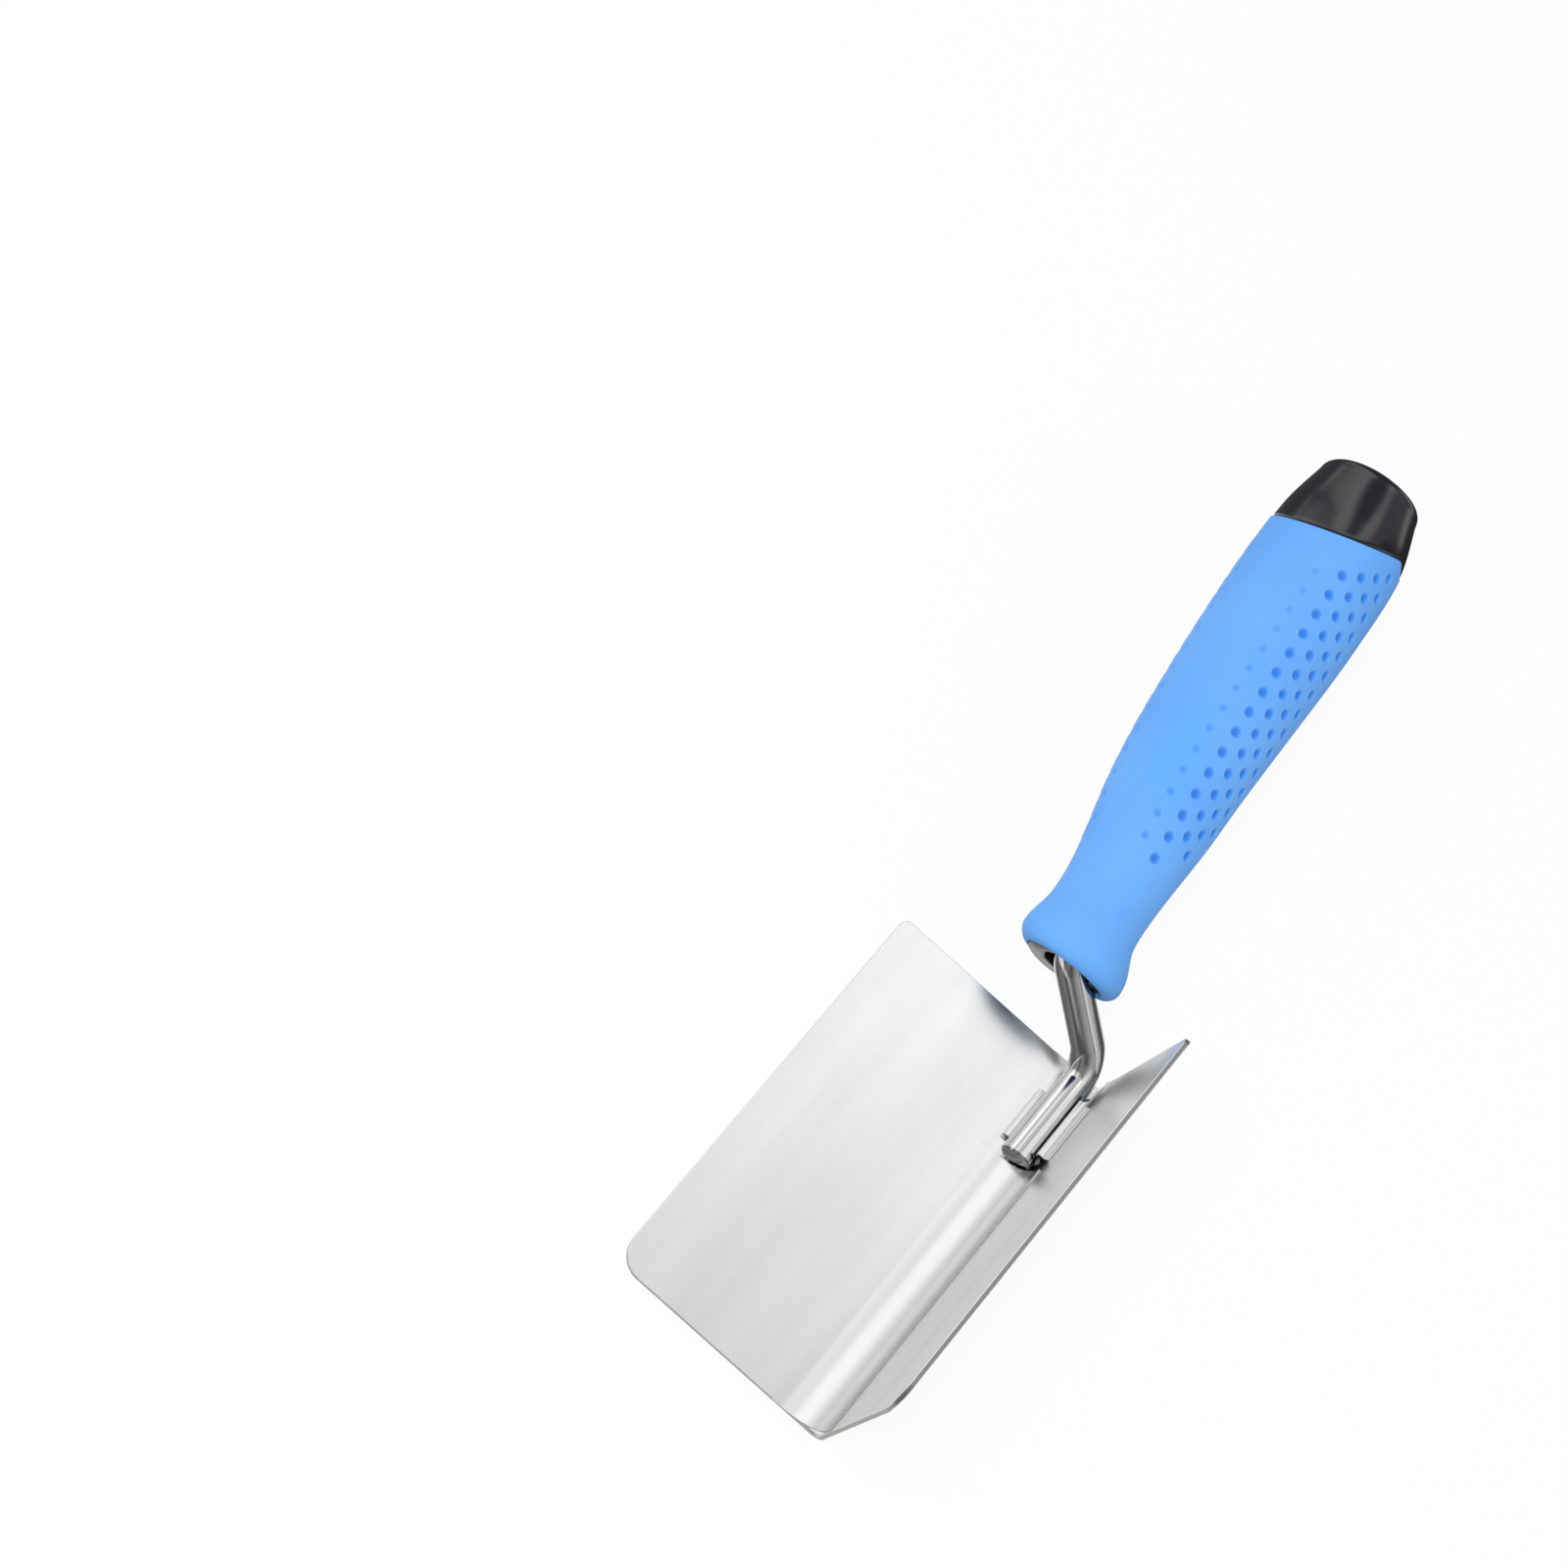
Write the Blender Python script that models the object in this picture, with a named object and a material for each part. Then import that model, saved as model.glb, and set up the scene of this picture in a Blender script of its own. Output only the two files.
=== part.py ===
"""Inside corner trowel: a folded steel blade on a bent rod, with a two-part moulded handle.

The tool is drawn with its fold along +Y and its trough opening up, then turned a half right
angle about the fold, so that one wing lies flat on z = 0, with the origin at the middle of
its outside face, and the other stands upright.
"""

import math

import bmesh
import bpy
from mathutils import Matrix, Vector

MM = 0.001

# Blade: one sheet folded to a right angle. Lengths are along the sheet's outside.
WING_WIDTH = 60.0 * MM
BLADE_LENGTH = 105.0 * MM
BLADE_SHEET = 1.2 * MM
FOLD_INSIDE_RADIUS = 1.8 * MM
FRONT_CORNER_RADIUS = 6.5 * MM
BACK_CORNER_RADIUS = 2.0 * MM
HALF_FOLD = math.radians(45.0)

# Liner: a bent strip that rounds out the inside of the fold, in front of the rod.
LINER_SHEET = 0.6 * MM
LINER_RADIUS = 9.5 * MM
LINER_LEFT_FLANGE = 2.0 * MM
LINER_RIGHT_FLANGE = 1.0 * MM
LINER_RELIEF = 0.8 * MM

# Shank: one round rod with two bends. The second bend lies in the handle's mouth.
ROD_DIAMETER = 8.0 * MM
ROD_LAP = 27.9 * MM
ROD_OVERHANG = 1.4 * MM
RISER_LENGTH = 33.4 * MM
RISER_ANGLE = math.radians(77.0)
BEND_RADIUS = 8.5 * MM
TANG_DEPTH = 78.0 * MM

# Saddle: a pressed channel that carries the rod in the fold, with rolled lips.
SADDLE_SHEET = 0.9 * MM
SADDLE_LENGTH = 18.0 * MM
SADDLE_SETBACK = 2.7 * MM
SADDLE_ARM = 0.2 * MM
LIP_HOLLOW_RADIUS = 0.3 * MM
LIP_TURN = math.radians(215.0)

# Handle: distances run along its axis from the collar's widest ring.
HANDLE_TILT = math.radians(9.4)
COLLAR_DIAMETER = 26.8 * MM
COLLAR_LENGTH = 8.0 * MM
NECK_DIAMETER = 22.2 * MM
NECK_LENGTH = 9.0 * MM
BELLY_DIAMETER = 33.6 * MM
BELLY_AT = 97.0 * MM
PARTING_DIAMETER = 32.2 * MM
PARTING_AT = 116.8 * MM
PARTING_SLANT = math.radians(21.0)
BUTT_DIAMETER = 25.8 * MM
BUTT_AT = 128.9 * MM
BUTT_FILLET = 2.6 * MM
LIP_DEPTH = 3.0 * MM
LIP_SLANT = math.radians(1.5)
COLLAR_DROP = 2.8 * MM
NECK_DROP = 1.4 * MM
ARCH_RISE = 1.0 * MM
BELLY_DROP = 0.8 * MM

# Core: the hard body inside the grip, with a flange that shows in the collar.
FLANGE_DIAMETER = 20.0 * MM
FLANGE_LENGTH = 4.0 * MM
FLANGE_PROUD = 0.3 * MM
CORE_DIAMETER = 16.0 * MM
CORE_SHOULDER = 2.0 * MM
CORE_TAIL = 7.5 * MM
POCKET_DIAMETER = 11.5 * MM
POCKET_DEPTH = 3.0 * MM

# Swell of the handle: shares of the way from neck to belly, and of the growth in width there.
THROAT_SHARE = 0.12
RISE_RUN_SHARE = 0.33
RISE_SHARE = 0.52
SWELL_RUN_SHARE = 0.7
SWELL_SHARE = 0.86

# Clearances and the fineness of round shapes.
SEAT_GAP = 0.3 * MM
CORNER_STEPS = 6
FOLD_STEPS = 6
LIP_STEPS = 6
COLLAR_STEPS = 6
GRIP_STEPS = 21
CAP_STEPS = 6
BUTT_STEPS = 3
RING_SIDES = 40
ROD_SIDES = 24
BEND_STEPS = 10
SETTLING_STEPS = 4

ROD_RADIUS = ROD_DIAMETER / 2
LIP_MIDDLE_RADIUS = LIP_HOLLOW_RADIUS + SADDLE_SHEET / 2
TROUGH_RADIUS = ROD_RADIUS + SEAT_GAP + SADDLE_SHEET / 2
WING_SEAT = BLADE_SHEET / math.cos(HALF_FOLD)


def seated_rod_height():
    """Height of the rod's centre over the outside of the fold, with the saddle resting on both wings."""
    on_trough = (TROUGH_RADIUS + SADDLE_SHEET / 2 + SEAT_GAP) / math.sin(HALF_FOLD)
    lip_reach = (LIP_MIDDLE_RADIUS + SADDLE_SHEET / 2 + SEAT_GAP) / math.sin(HALF_FOLD)
    lip_offset = (TROUGH_RADIUS + LIP_MIDDLE_RADIUS) / math.tan(HALF_FOLD)
    return WING_SEAT + max(on_trough, lip_reach + lip_offset - SADDLE_ARM)


ROD_HEIGHT = seated_rod_height()
ROD_FRONT = BLADE_LENGTH - ROD_LAP
SADDLE_FRONT = ROD_FRONT + SADDLE_SETBACK
LOWER_BEND = Vector((0.0, BLADE_LENGTH + ROD_OVERHANG, ROD_HEIGHT))
RISER_DIRECTION = Vector((0.0, math.cos(RISER_ANGLE), math.sin(RISER_ANGLE)))
MOUTH = LOWER_BEND + RISER_DIRECTION * RISER_LENGTH
AXIS = Vector((0.0, math.cos(HANDLE_TILT), math.sin(HANDLE_TILT)))
AXIS_UP = Vector((0.0, -math.sin(HANDLE_TILT), math.cos(HANDLE_TILT)))


def clear_scene():
    """Remove every object of the open scene."""
    for thing in list(bpy.data.objects):
        bpy.data.objects.remove(thing, do_unlink=True)


def finish(name, colour, roughness, metallic):
    """Principled material of one sub-part."""
    material = bpy.data.materials.new(name)
    material.use_nodes = True
    shader = material.node_tree.nodes["Principled BSDF"]
    shader.inputs["Base Color"].default_value = (*colour, 1.0)
    shader.inputs["Roughness"].default_value = roughness
    shader.inputs["Metallic"].default_value = metallic
    return material


def add_part(name, shape, material, parent, sharp_from=35.0):
    """Turn a bmesh into a smooth-shaded object under the tool's empty."""
    bmesh.ops.recalc_face_normals(shape, faces=shape.faces)
    mesh = bpy.data.meshes.new(name)
    shape.to_mesh(mesh)
    shape.free()
    mesh.shade_smooth()
    mesh.set_sharp_from_angle(angle=math.radians(sharp_from))
    mesh.materials.append(material)
    part = bpy.data.objects.new(name, mesh)
    bpy.context.scene.collection.objects.link(part)
    part.parent = parent
    return part


def cut(part, cutter):
    """Take the cutter's shape out of the part, and keep the cutter as a hidden guide."""
    cutter.hide_render = True
    cutter.display_type = "WIRE"
    modifier = part.modifiers.new("cut_" + cutter.name, "BOOLEAN")
    modifier.operation = "DIFFERENCE"
    modifier.solver = "EXACT"
    modifier.object = cutter


def arc(centre, radius, start, turn, steps):
    """Points of a plane arc, as pairs, from the start angle through the turn."""
    points = []
    for step in range(steps + 1):
        angle = start + turn * step / steps
        points.append((centre[0] + radius * math.cos(angle), centre[1] + radius * math.sin(angle)))
    return points


def sheet_from_profile(profile, front, back, thickness):
    """Closed bent sheet: a profile of (x, z) pairs on its middle surface, run from front to back.

    Each point of the profile is set off to both sides along the bisector of its neighbours, so
    that the sheet keeps its thickness round a bend.
    """
    count = len(profile)
    points = [Vector(pair) for pair in profile]
    upper = []
    lower = []
    for index, point in enumerate(points):
        before = (point - points[index - 1]).normalized() if index else None
        after = (points[index + 1] - point).normalized() if index < count - 1 else None
        along = ((before or after) + (after or before)).normalized()
        across = Vector((-along.y, along.x))
        reach = thickness / 2 / max(0.5, along.dot(before or after))
        upper.append(point + across * reach)
        lower.append(point - across * reach)
    shape = bmesh.new()
    outline = [shape.verts.new((p.x, front, p.y)) for p in upper + lower[::-1]]
    strips = []
    for index in range(count - 1):
        far = 2 * count - 1 - index
        strips.append(shape.faces.new((outline[index], outline[index + 1], outline[far - 1], outline[far])))
    grown = bmesh.ops.extrude_face_region(shape, geom=strips, use_keep_orig=True)
    moved = [item for item in grown["geom"] if isinstance(item, bmesh.types.BMVert)]
    bmesh.ops.translate(shape, verts=moved, vec=(0.0, back - front, 0.0))
    return shape


def round_corner(shape, place, radius):
    """Round the sheet's corner whose short edge starts nearest the given place."""
    def off_place(edge):
        middle = (edge.verts[0].co + edge.verts[1].co) / 2
        return (middle - place).length

    def is_short(edge):
        return edge.calc_length() < 2 * BLADE_SHEET and abs(edge.verts[0].co.y - edge.verts[1].co.y) < SEAT_GAP

    corner = min(filter(is_short, shape.edges), key=off_place)
    bmesh.ops.bevel(
        shape, geom=[corner], offset=radius, offset_type="OFFSET", affect="EDGES",
        segments=CORNER_STEPS, profile=0.5, material=-1,
    )


def blade_shape():
    """The folded sheet, with two round front corners and two small back ones."""
    bend = FOLD_INSIDE_RADIUS + BLADE_SHEET / 2
    centre_height = (FOLD_INSIDE_RADIUS + BLADE_SHEET) / math.sin(HALF_FOLD)
    fold = arc((0.0, centre_height), bend, math.pi + HALF_FOLD, math.pi - 2 * HALF_FOLD, FOLD_STEPS)
    inset = BLADE_SHEET / 2
    edge_side = WING_WIDTH * math.sin(HALF_FOLD) - inset * math.cos(HALF_FOLD)
    edge_up = WING_WIDTH * math.cos(HALF_FOLD) + inset * math.sin(HALF_FOLD)
    profile = [(-edge_side, edge_up)] + fold + [(edge_side, edge_up)]
    shape = sheet_from_profile(profile, 0.0, BLADE_LENGTH, BLADE_SHEET)
    for side in (-1.0, 1.0):
        round_corner(shape, Vector((side * edge_side, 0.0, edge_up)), FRONT_CORNER_RADIUS)
        round_corner(shape, Vector((side * edge_side, BLADE_LENGTH, edge_up)), BACK_CORNER_RADIUS)
    return shape


def on_wings(along_left, along_right):
    """Point of the trough, from its distances along the inside of the left and the right wing."""
    side = (along_right - along_left) * math.sin(HALF_FOLD)
    up = (along_right + along_left) * math.cos(HALF_FOLD) + WING_SEAT
    return (side, up)


def liner_shape():
    """The bent strip: a flange on the left wing, a wide bend and a narrow flange on the right wing."""
    seat = SEAT_GAP + LINER_SHEET / 2
    bend = LINER_RADIUS + LINER_SHEET / 2
    reach = seat + bend
    curve = arc((reach, reach), bend, -math.pi / 2, -math.pi / 2, BEND_STEPS)
    path = [(reach + LINER_LEFT_FLANGE, seat)] + curve + [(seat, reach + LINER_RIGHT_FLANGE)]
    profile = [on_wings(left, right) for left, right in path]
    return sheet_from_profile(profile, 0.0, ROD_FRONT - LINER_RELIEF, LINER_SHEET)


def saddle_shape():
    """The channel under the rod: left lip, trough and right lip in one bent sheet."""
    lip_centre = (TROUGH_RADIUS + LIP_MIDDLE_RADIUS, ROD_HEIGHT + SADDLE_ARM)
    right_lip = arc(lip_centre, LIP_MIDDLE_RADIUS, math.pi, -LIP_TURN, BEND_STEPS)
    trough = arc((0.0, ROD_HEIGHT), TROUGH_RADIUS, math.pi, math.pi, 2 * BEND_STEPS)
    left_lip = [(-x, z) for x, z in reversed(right_lip)]
    profile = left_lip + trough + right_lip
    return sheet_from_profile(profile, SADDLE_FRONT, SADDLE_FRONT + SADDLE_LENGTH, SADDLE_SHEET)


def rod_path(start, tang):
    """Centre line of the bent rod, from its front end to the end of its tang."""
    corners = [Vector((0.0, start, ROD_HEIGHT)), LOWER_BEND, MOUTH, MOUTH + AXIS * tang]
    path = [corners[0]]
    for before, corner, after in zip(corners, corners[1:], corners[2:]):
        inward = (before - corner).normalized()
        outward = (after - corner).normalized()
        half_opening = inward.angle(outward) / 2
        reach = BEND_RADIUS / math.tan(half_opening)
        centre = corner + (inward + outward).normalized() * (BEND_RADIUS / math.sin(half_opening))
        spoke = corner + inward * reach - centre
        turn = math.pi - 2 * half_opening
        hinge = spoke.cross(corner + outward * reach - centre).normalized()
        for step in range(BEND_STEPS + 1):
            path.append(centre + Matrix.Rotation(turn * step / BEND_STEPS, 3, hinge) @ spoke)
    path.append(corners[-1])
    return path


def tube_along(path, radius):
    """Round bar along a path in the plane x = 0, with flat ends."""
    shape = bmesh.new()
    first = bmesh.ops.create_circle(shape, cap_ends=False, segments=ROD_SIDES, radius=radius)["verts"]
    spokes = [v.co.copy() for v in first]
    ring = list(first)
    rings = []
    for index, point in enumerate(path):
        before = path[max(index - 1, 0)]
        after = path[min(index + 1, len(path) - 1)]
        along = (after - before).normalized()
        up = Vector((1.0, 0.0, 0.0)).cross(along)
        if index:
            edges = [e for v in ring for e in v.link_edges if e.other_vert(v) in ring]
            grown = bmesh.ops.extrude_edge_only(shape, edges=list(set(edges)))
            fresh = [v for v in grown["geom"] if isinstance(v, bmesh.types.BMVert)]
            ring = sorted(fresh, key=lambda v: nearest(v.co, rings[-1]))
        place = [point + Vector((s.x, 0.0, 0.0)) + up * s.y for s in spokes]
        for vert, spot in zip(ring, place):
            vert.co = spot
        rings.append(place)
    bmesh.ops.holes_fill(shape, edges=shape.edges, sides=0)
    return shape


def nearest(spot, places):
    """Index of the place that lies nearest the spot."""
    return min(range(len(places)), key=lambda index: (places[index] - spot).length)


def hermite(knots, at):
    """Smooth value between (place, value) knots, level where the values turn."""
    last = len(knots) - 1
    slopes = []
    for index in range(last + 1):
        left = knots[max(index - 1, 0)]
        right = knots[min(index + 1, last)]
        middle = knots[index]
        turning = (middle[1] - left[1]) * (right[1] - middle[1]) <= 0
        slopes.append(0.0 if turning else (right[1] - left[1]) / (right[0] - left[0]))
    index = max(i for i in range(last) if knots[i][0] <= at or i == 0)
    (x0, y0), (x1, y1) = knots[index], knots[index + 1]
    t = min(max((at - x0) / (x1 - x0), 0.0), 1.0)
    width = x1 - x0
    rise = y1 - y0
    return y0 + t * (
        slopes[index] * width
        + t * (3 * rise - (2 * slopes[index] + slopes[index + 1]) * width
               + t * ((slopes[index] + slopes[index + 1]) * width - 2 * rise))
    )


NECK_AT = COLLAR_LENGTH + NECK_LENGTH / 2
SWELL_RUN = BELLY_AT - NECK_AT
SWELL_WIDTH = BELLY_DIAMETER - NECK_DIAMETER
CAP_RUN = BUTT_AT - PARTING_AT
OUTLINE = [
    (0.0, COLLAR_DIAMETER),
    (COLLAR_LENGTH, NECK_DIAMETER + (COLLAR_DIAMETER - NECK_DIAMETER) * THROAT_SHARE),
    (NECK_AT, NECK_DIAMETER),
    (NECK_AT + SWELL_RUN * RISE_RUN_SHARE, NECK_DIAMETER + SWELL_WIDTH * RISE_SHARE),
    (NECK_AT + SWELL_RUN * SWELL_RUN_SHARE, NECK_DIAMETER + SWELL_WIDTH * SWELL_SHARE),
    (BELLY_AT, BELLY_DIAMETER),
    (PARTING_AT, PARTING_DIAMETER),
    (BUTT_AT, BUTT_DIAMETER),
    (BUTT_AT + CAP_RUN, 2 * BUTT_DIAMETER - PARTING_DIAMETER),
]
MIDDLE_LINE = [
    (-LIP_DEPTH, -COLLAR_DROP),
    (COLLAR_LENGTH, -NECK_DROP),
    (NECK_AT, -NECK_DROP),
    ((NECK_AT + BELLY_AT) / 2, ARCH_RISE),
    (BELLY_AT, -BELLY_DROP / 4),
    (PARTING_AT, -BELLY_DROP),
    (BUTT_AT + BUTT_FILLET, -BELLY_DROP / 4),
]


def slant_at(along):
    """Lean of the handle's rings: forward under the collar, back under the parting line."""
    if along < COLLAR_LENGTH:
        return -math.tan(LIP_SLANT) * min(1.0, 1 - along / COLLAR_LENGTH)
    reach = PARTING_AT - BELLY_AT if along < PARTING_AT else BUTT_AT - PARTING_AT
    return math.tan(PARTING_SLANT) * max(0.0, 1 - abs(along - PARTING_AT) / reach)


def handle_point(along, radius, angle):
    """Point at an angle round the handle's middle line."""
    lift = hermite(MIDDLE_LINE, along) + radius * math.sin(angle)
    return MOUTH + AXIS * along + AXIS_UP * lift + Vector((radius * math.cos(angle), 0.0, 0.0))


def ring_points(along, radius, slant=0.0):
    """One round ring of the handle, leaning by its slant."""
    points = []
    for side in range(RING_SIDES):
        angle = 2 * math.pi * side / RING_SIDES
        points.append(handle_point(along - radius * math.sin(angle) * slant, radius, angle))
    return points


def outline_ring(along):
    """One leaning ring on the handle's outside, each of its points at the width of its own place."""
    slant = slant_at(along)
    points = []
    for side in range(RING_SIDES):
        angle = 2 * math.pi * side / RING_SIDES
        place = along
        for _ in range(SETTLING_STEPS):
            radius = hermite(OUTLINE, place) / 2
            place = along - radius * math.sin(angle) * slant
        points.append(handle_point(place, hermite(OUTLINE, place) / 2, angle))
    return points


def skin_rings(rings, closed):
    """Skin a run of rings. A closed run joins its last ring to its first, an open one is capped."""
    shape = bmesh.new()
    loops = []
    for points in rings:
        verts = [shape.verts.new(p) for p in points]
        loops.append([shape.edges.new((v, verts[(i + 1) % len(verts)])) for i, v in enumerate(verts)])
    pairs = list(zip(loops, loops[1:]))
    if closed:
        pairs.append((loops[-1], loops[0]))
    for one, other in pairs:
        bmesh.ops.bridge_loops(shape, edges=one + other)
    if not closed:
        bmesh.ops.holes_fill(shape, edges=shape.edges, sides=0)
    return shape


def outline_rings(start, end, steps):
    """Rings of the handle's outside, evenly spaced from start to end."""
    rings = []
    for step in range(steps + 1):
        along = start + (end - start) * step / steps
        rings.append(outline_ring(along))
    return rings


def core_profile():
    """(along, radius) pairs of the core's outside, from the flange's face to its tail."""
    face = -LIP_DEPTH - FLANGE_PROUD
    flange_end = face + FLANGE_LENGTH
    return [
        (face, FLANGE_DIAMETER / 2 - FLANGE_PROUD),
        (face + FLANGE_PROUD, FLANGE_DIAMETER / 2),
        (flange_end, FLANGE_DIAMETER / 2),
        (flange_end + CORE_SHOULDER, CORE_DIAMETER / 2),
        (NECK_AT, CORE_DIAMETER / 2),
        ((NECK_AT + BELLY_AT) / 2, CORE_DIAMETER / 2),
        (BELLY_AT, CORE_DIAMETER / 2),
        (PARTING_AT, CORE_DIAMETER / 2),
        (PARTING_AT + CORE_TAIL, CORE_DIAMETER / 2),
    ]


def core_shape():
    """Hard core as a solid bar. Its bore is cut afterwards."""
    return skin_rings([ring_points(s, r) for s, r in core_profile()], closed=False)


def grip_shape():
    """Soft grip: the collar's rolled lip, the outside to the parting line, and the bore back."""
    parting = PARTING_AT - SEAT_GAP / 2
    lip_edge = FLANGE_DIAMETER / 2 + SEAT_GAP
    lip_width = COLLAR_DIAMETER / 2 - lip_edge
    rings = []
    for step in range(LIP_STEPS):
        angle = math.pi / 2 * step / LIP_STEPS
        along = -LIP_DEPTH * math.cos(angle)
        rings.append(ring_points(along, lip_edge + lip_width * math.sin(angle), slant_at(along)))
    rings += outline_rings(0.0, COLLAR_LENGTH, COLLAR_STEPS)
    rings += outline_rings(COLLAR_LENGTH, parting, GRIP_STEPS)[1:]
    bore = [pair for pair in core_profile() if -LIP_DEPTH < pair[0] < parting]
    rings.append(ring_points(parting, CORE_DIAMETER / 2 + SEAT_GAP, slant_at(parting)))
    rings += [ring_points(s, r + SEAT_GAP) for s, r in reversed(bore)]
    return skin_rings(rings, closed=True)


def cap_shape():
    """Butt cap: outside from the parting line to a filleted end, with a socket for the core's tail."""
    parting = PARTING_AT + SEAT_GAP / 2
    socket = CORE_DIAMETER / 2 + SEAT_GAP
    floor = PARTING_AT + CORE_TAIL + SEAT_GAP
    rings = [ring_points(floor, socket), ring_points(parting, socket, slant_at(parting))]
    rings += outline_rings(parting, BUTT_AT, CAP_STEPS)
    for step in range(1, BUTT_STEPS + 1):
        angle = math.pi / 2 * step / BUTT_STEPS
        radius = BUTT_DIAMETER / 2 - BUTT_FILLET * (1 - math.cos(angle))
        rings.append(ring_points(BUTT_AT + BUTT_FILLET * math.sin(angle), radius))
    return skin_rings(rings, closed=False)


def pocket_shape():
    """Guide for the shallow round pocket in the flange, round the rod."""
    face = -LIP_DEPTH - FLANGE_PROUD
    rings = [ring_points(face - POCKET_DEPTH, POCKET_DIAMETER / 2)]
    rings.append(ring_points(face + POCKET_DEPTH, POCKET_DIAMETER / 2))
    return skin_rings(rings, closed=False)


def build():
    """Make every sub-part under one empty that lays the left wing flat."""
    clear_scene()
    tool = bpy.data.objects.new("inside_corner_trowel", None)
    tool.rotation_euler = (0.0, -HALF_FOLD, 0.0)
    tool.location = (WING_WIDTH / 2, -BLADE_LENGTH / 2, 0.0)
    bpy.context.scene.collection.objects.link(tool)

    steel = finish("satin_stainless", (0.72, 0.72, 0.71), 0.32, 1.0)
    bright = finish("polished_rod", (0.70, 0.70, 0.70), 0.15, 1.0)
    pressed = finish("pressed_steel", (0.66, 0.66, 0.65), 0.25, 1.0)
    soft = finish("soft_blue_rubber", (0.09, 0.33, 0.90), 0.55, 0.0)
    hard = finish("hard_black_plastic", (0.020, 0.021, 0.024), 0.38, 0.0)

    add_part("blade", blade_shape(), steel, tool)
    add_part("corner_liner", liner_shape(), steel, tool)
    add_part("shank_saddle", saddle_shape(), pressed, tool)
    add_part("shank", tube_along(rod_path(ROD_FRONT, TANG_DEPTH), ROD_RADIUS), bright, tool)
    core = add_part("handle_core", core_shape(), hard, tool)
    grip = add_part("soft_grip", grip_shape(), soft, tool, sharp_from=60.0)
    add_part("butt_cap", cap_shape(), hard, tool)

    bore_path = rod_path(ROD_FRONT, TANG_DEPTH + SEAT_GAP)
    rod_room = add_part("rod_room", tube_along(bore_path, ROD_RADIUS + SEAT_GAP), hard, tool)
    pocket = add_part("mouth_pocket", pocket_shape(), hard, tool)
    cut(core, rod_room)
    cut(core, pocket)
    cut(grip, rod_room)


build()
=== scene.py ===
"""Looks of the inside corner trowel: finer pieces, finishes, floor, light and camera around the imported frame.

Sizes are in millimetres on the tool's own axes: x to the right of the fold, y along the fold from
the front edge to the back, z up out of the trough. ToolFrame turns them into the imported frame.
"""

import logging
import math
from dataclasses import dataclass, field
from enum import Enum
from typing import Callable, Sequence

import bmesh
import bpy
from mathutils import Matrix, Vector

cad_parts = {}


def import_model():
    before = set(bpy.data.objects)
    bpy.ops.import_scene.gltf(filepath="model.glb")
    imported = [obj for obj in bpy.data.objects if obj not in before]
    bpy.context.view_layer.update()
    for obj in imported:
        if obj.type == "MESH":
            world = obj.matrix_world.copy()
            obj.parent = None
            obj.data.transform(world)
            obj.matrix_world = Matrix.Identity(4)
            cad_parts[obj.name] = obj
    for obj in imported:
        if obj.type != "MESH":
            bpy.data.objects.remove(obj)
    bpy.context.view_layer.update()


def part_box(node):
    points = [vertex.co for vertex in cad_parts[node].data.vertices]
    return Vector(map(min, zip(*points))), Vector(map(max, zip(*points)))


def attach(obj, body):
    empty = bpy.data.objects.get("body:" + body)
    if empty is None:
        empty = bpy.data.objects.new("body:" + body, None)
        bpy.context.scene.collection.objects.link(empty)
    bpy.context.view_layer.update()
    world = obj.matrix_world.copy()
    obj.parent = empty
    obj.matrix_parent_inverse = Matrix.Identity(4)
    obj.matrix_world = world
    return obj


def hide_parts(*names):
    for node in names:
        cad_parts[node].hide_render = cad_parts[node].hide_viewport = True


LOG = logging.getLogger("corner_trowel")
MM = 0.001
MERGE_DISTANCE = 0.002
RIGHT_ANGLE = math.pi / 2

# Where most values of a noise texture lie, and the whole range of a share.
NOISE_SPAN = (0.3, 0.7)
WHOLE = (0.0, 1.0)

WHITE = (1.0, 1.0, 1.0, 1.0)

Station = Callable[[float], Vector]
Pair = tuple[float, float]
Triple = tuple[float, float, float]


class Coordinates(Enum):
    """Where a finish reads its pattern from."""

    OBJECT = "Object"
    UNWRAPPED = "UV"


def smooth_step(low: float, high: float, value: float) -> float:
    """Ease from 0 at low to 1 at high."""
    share = min(max((value - low) / (high - low), 0.0), 1.0)
    return share * share * (3.0 - 2.0 * share)


def hermite(knots: Sequence[Pair], at: float) -> float:
    """Smooth value between knots, level where the values turn.

    Args:
        knots: (place, value) pairs in rising order of place.
        at: the place to read.

    Returns:
        The value at that place.
    """
    last = len(knots) - 1
    slopes = []
    for index, middle in enumerate(knots):
        left = knots[max(index - 1, 0)]
        right = knots[min(index + 1, last)]
        turning = (middle[1] - left[1]) * (right[1] - middle[1]) <= 0
        slopes.append(0.0 if turning else (right[1] - left[1]) / (right[0] - left[0]))
    index = max(i for i in range(last) if knots[i][0] <= at or i == 0)
    (x0, y0), (x1, y1) = knots[index], knots[index + 1]
    width = x1 - x0
    rise = y1 - y0
    t = min(max((at - x0) / width, 0.0), 1.0)
    first = slopes[index] * width
    second = slopes[index + 1] * width
    return y0 + t * (first + t * (3 * rise - 2 * first - second + t * (first + second - 2 * rise)))


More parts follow.
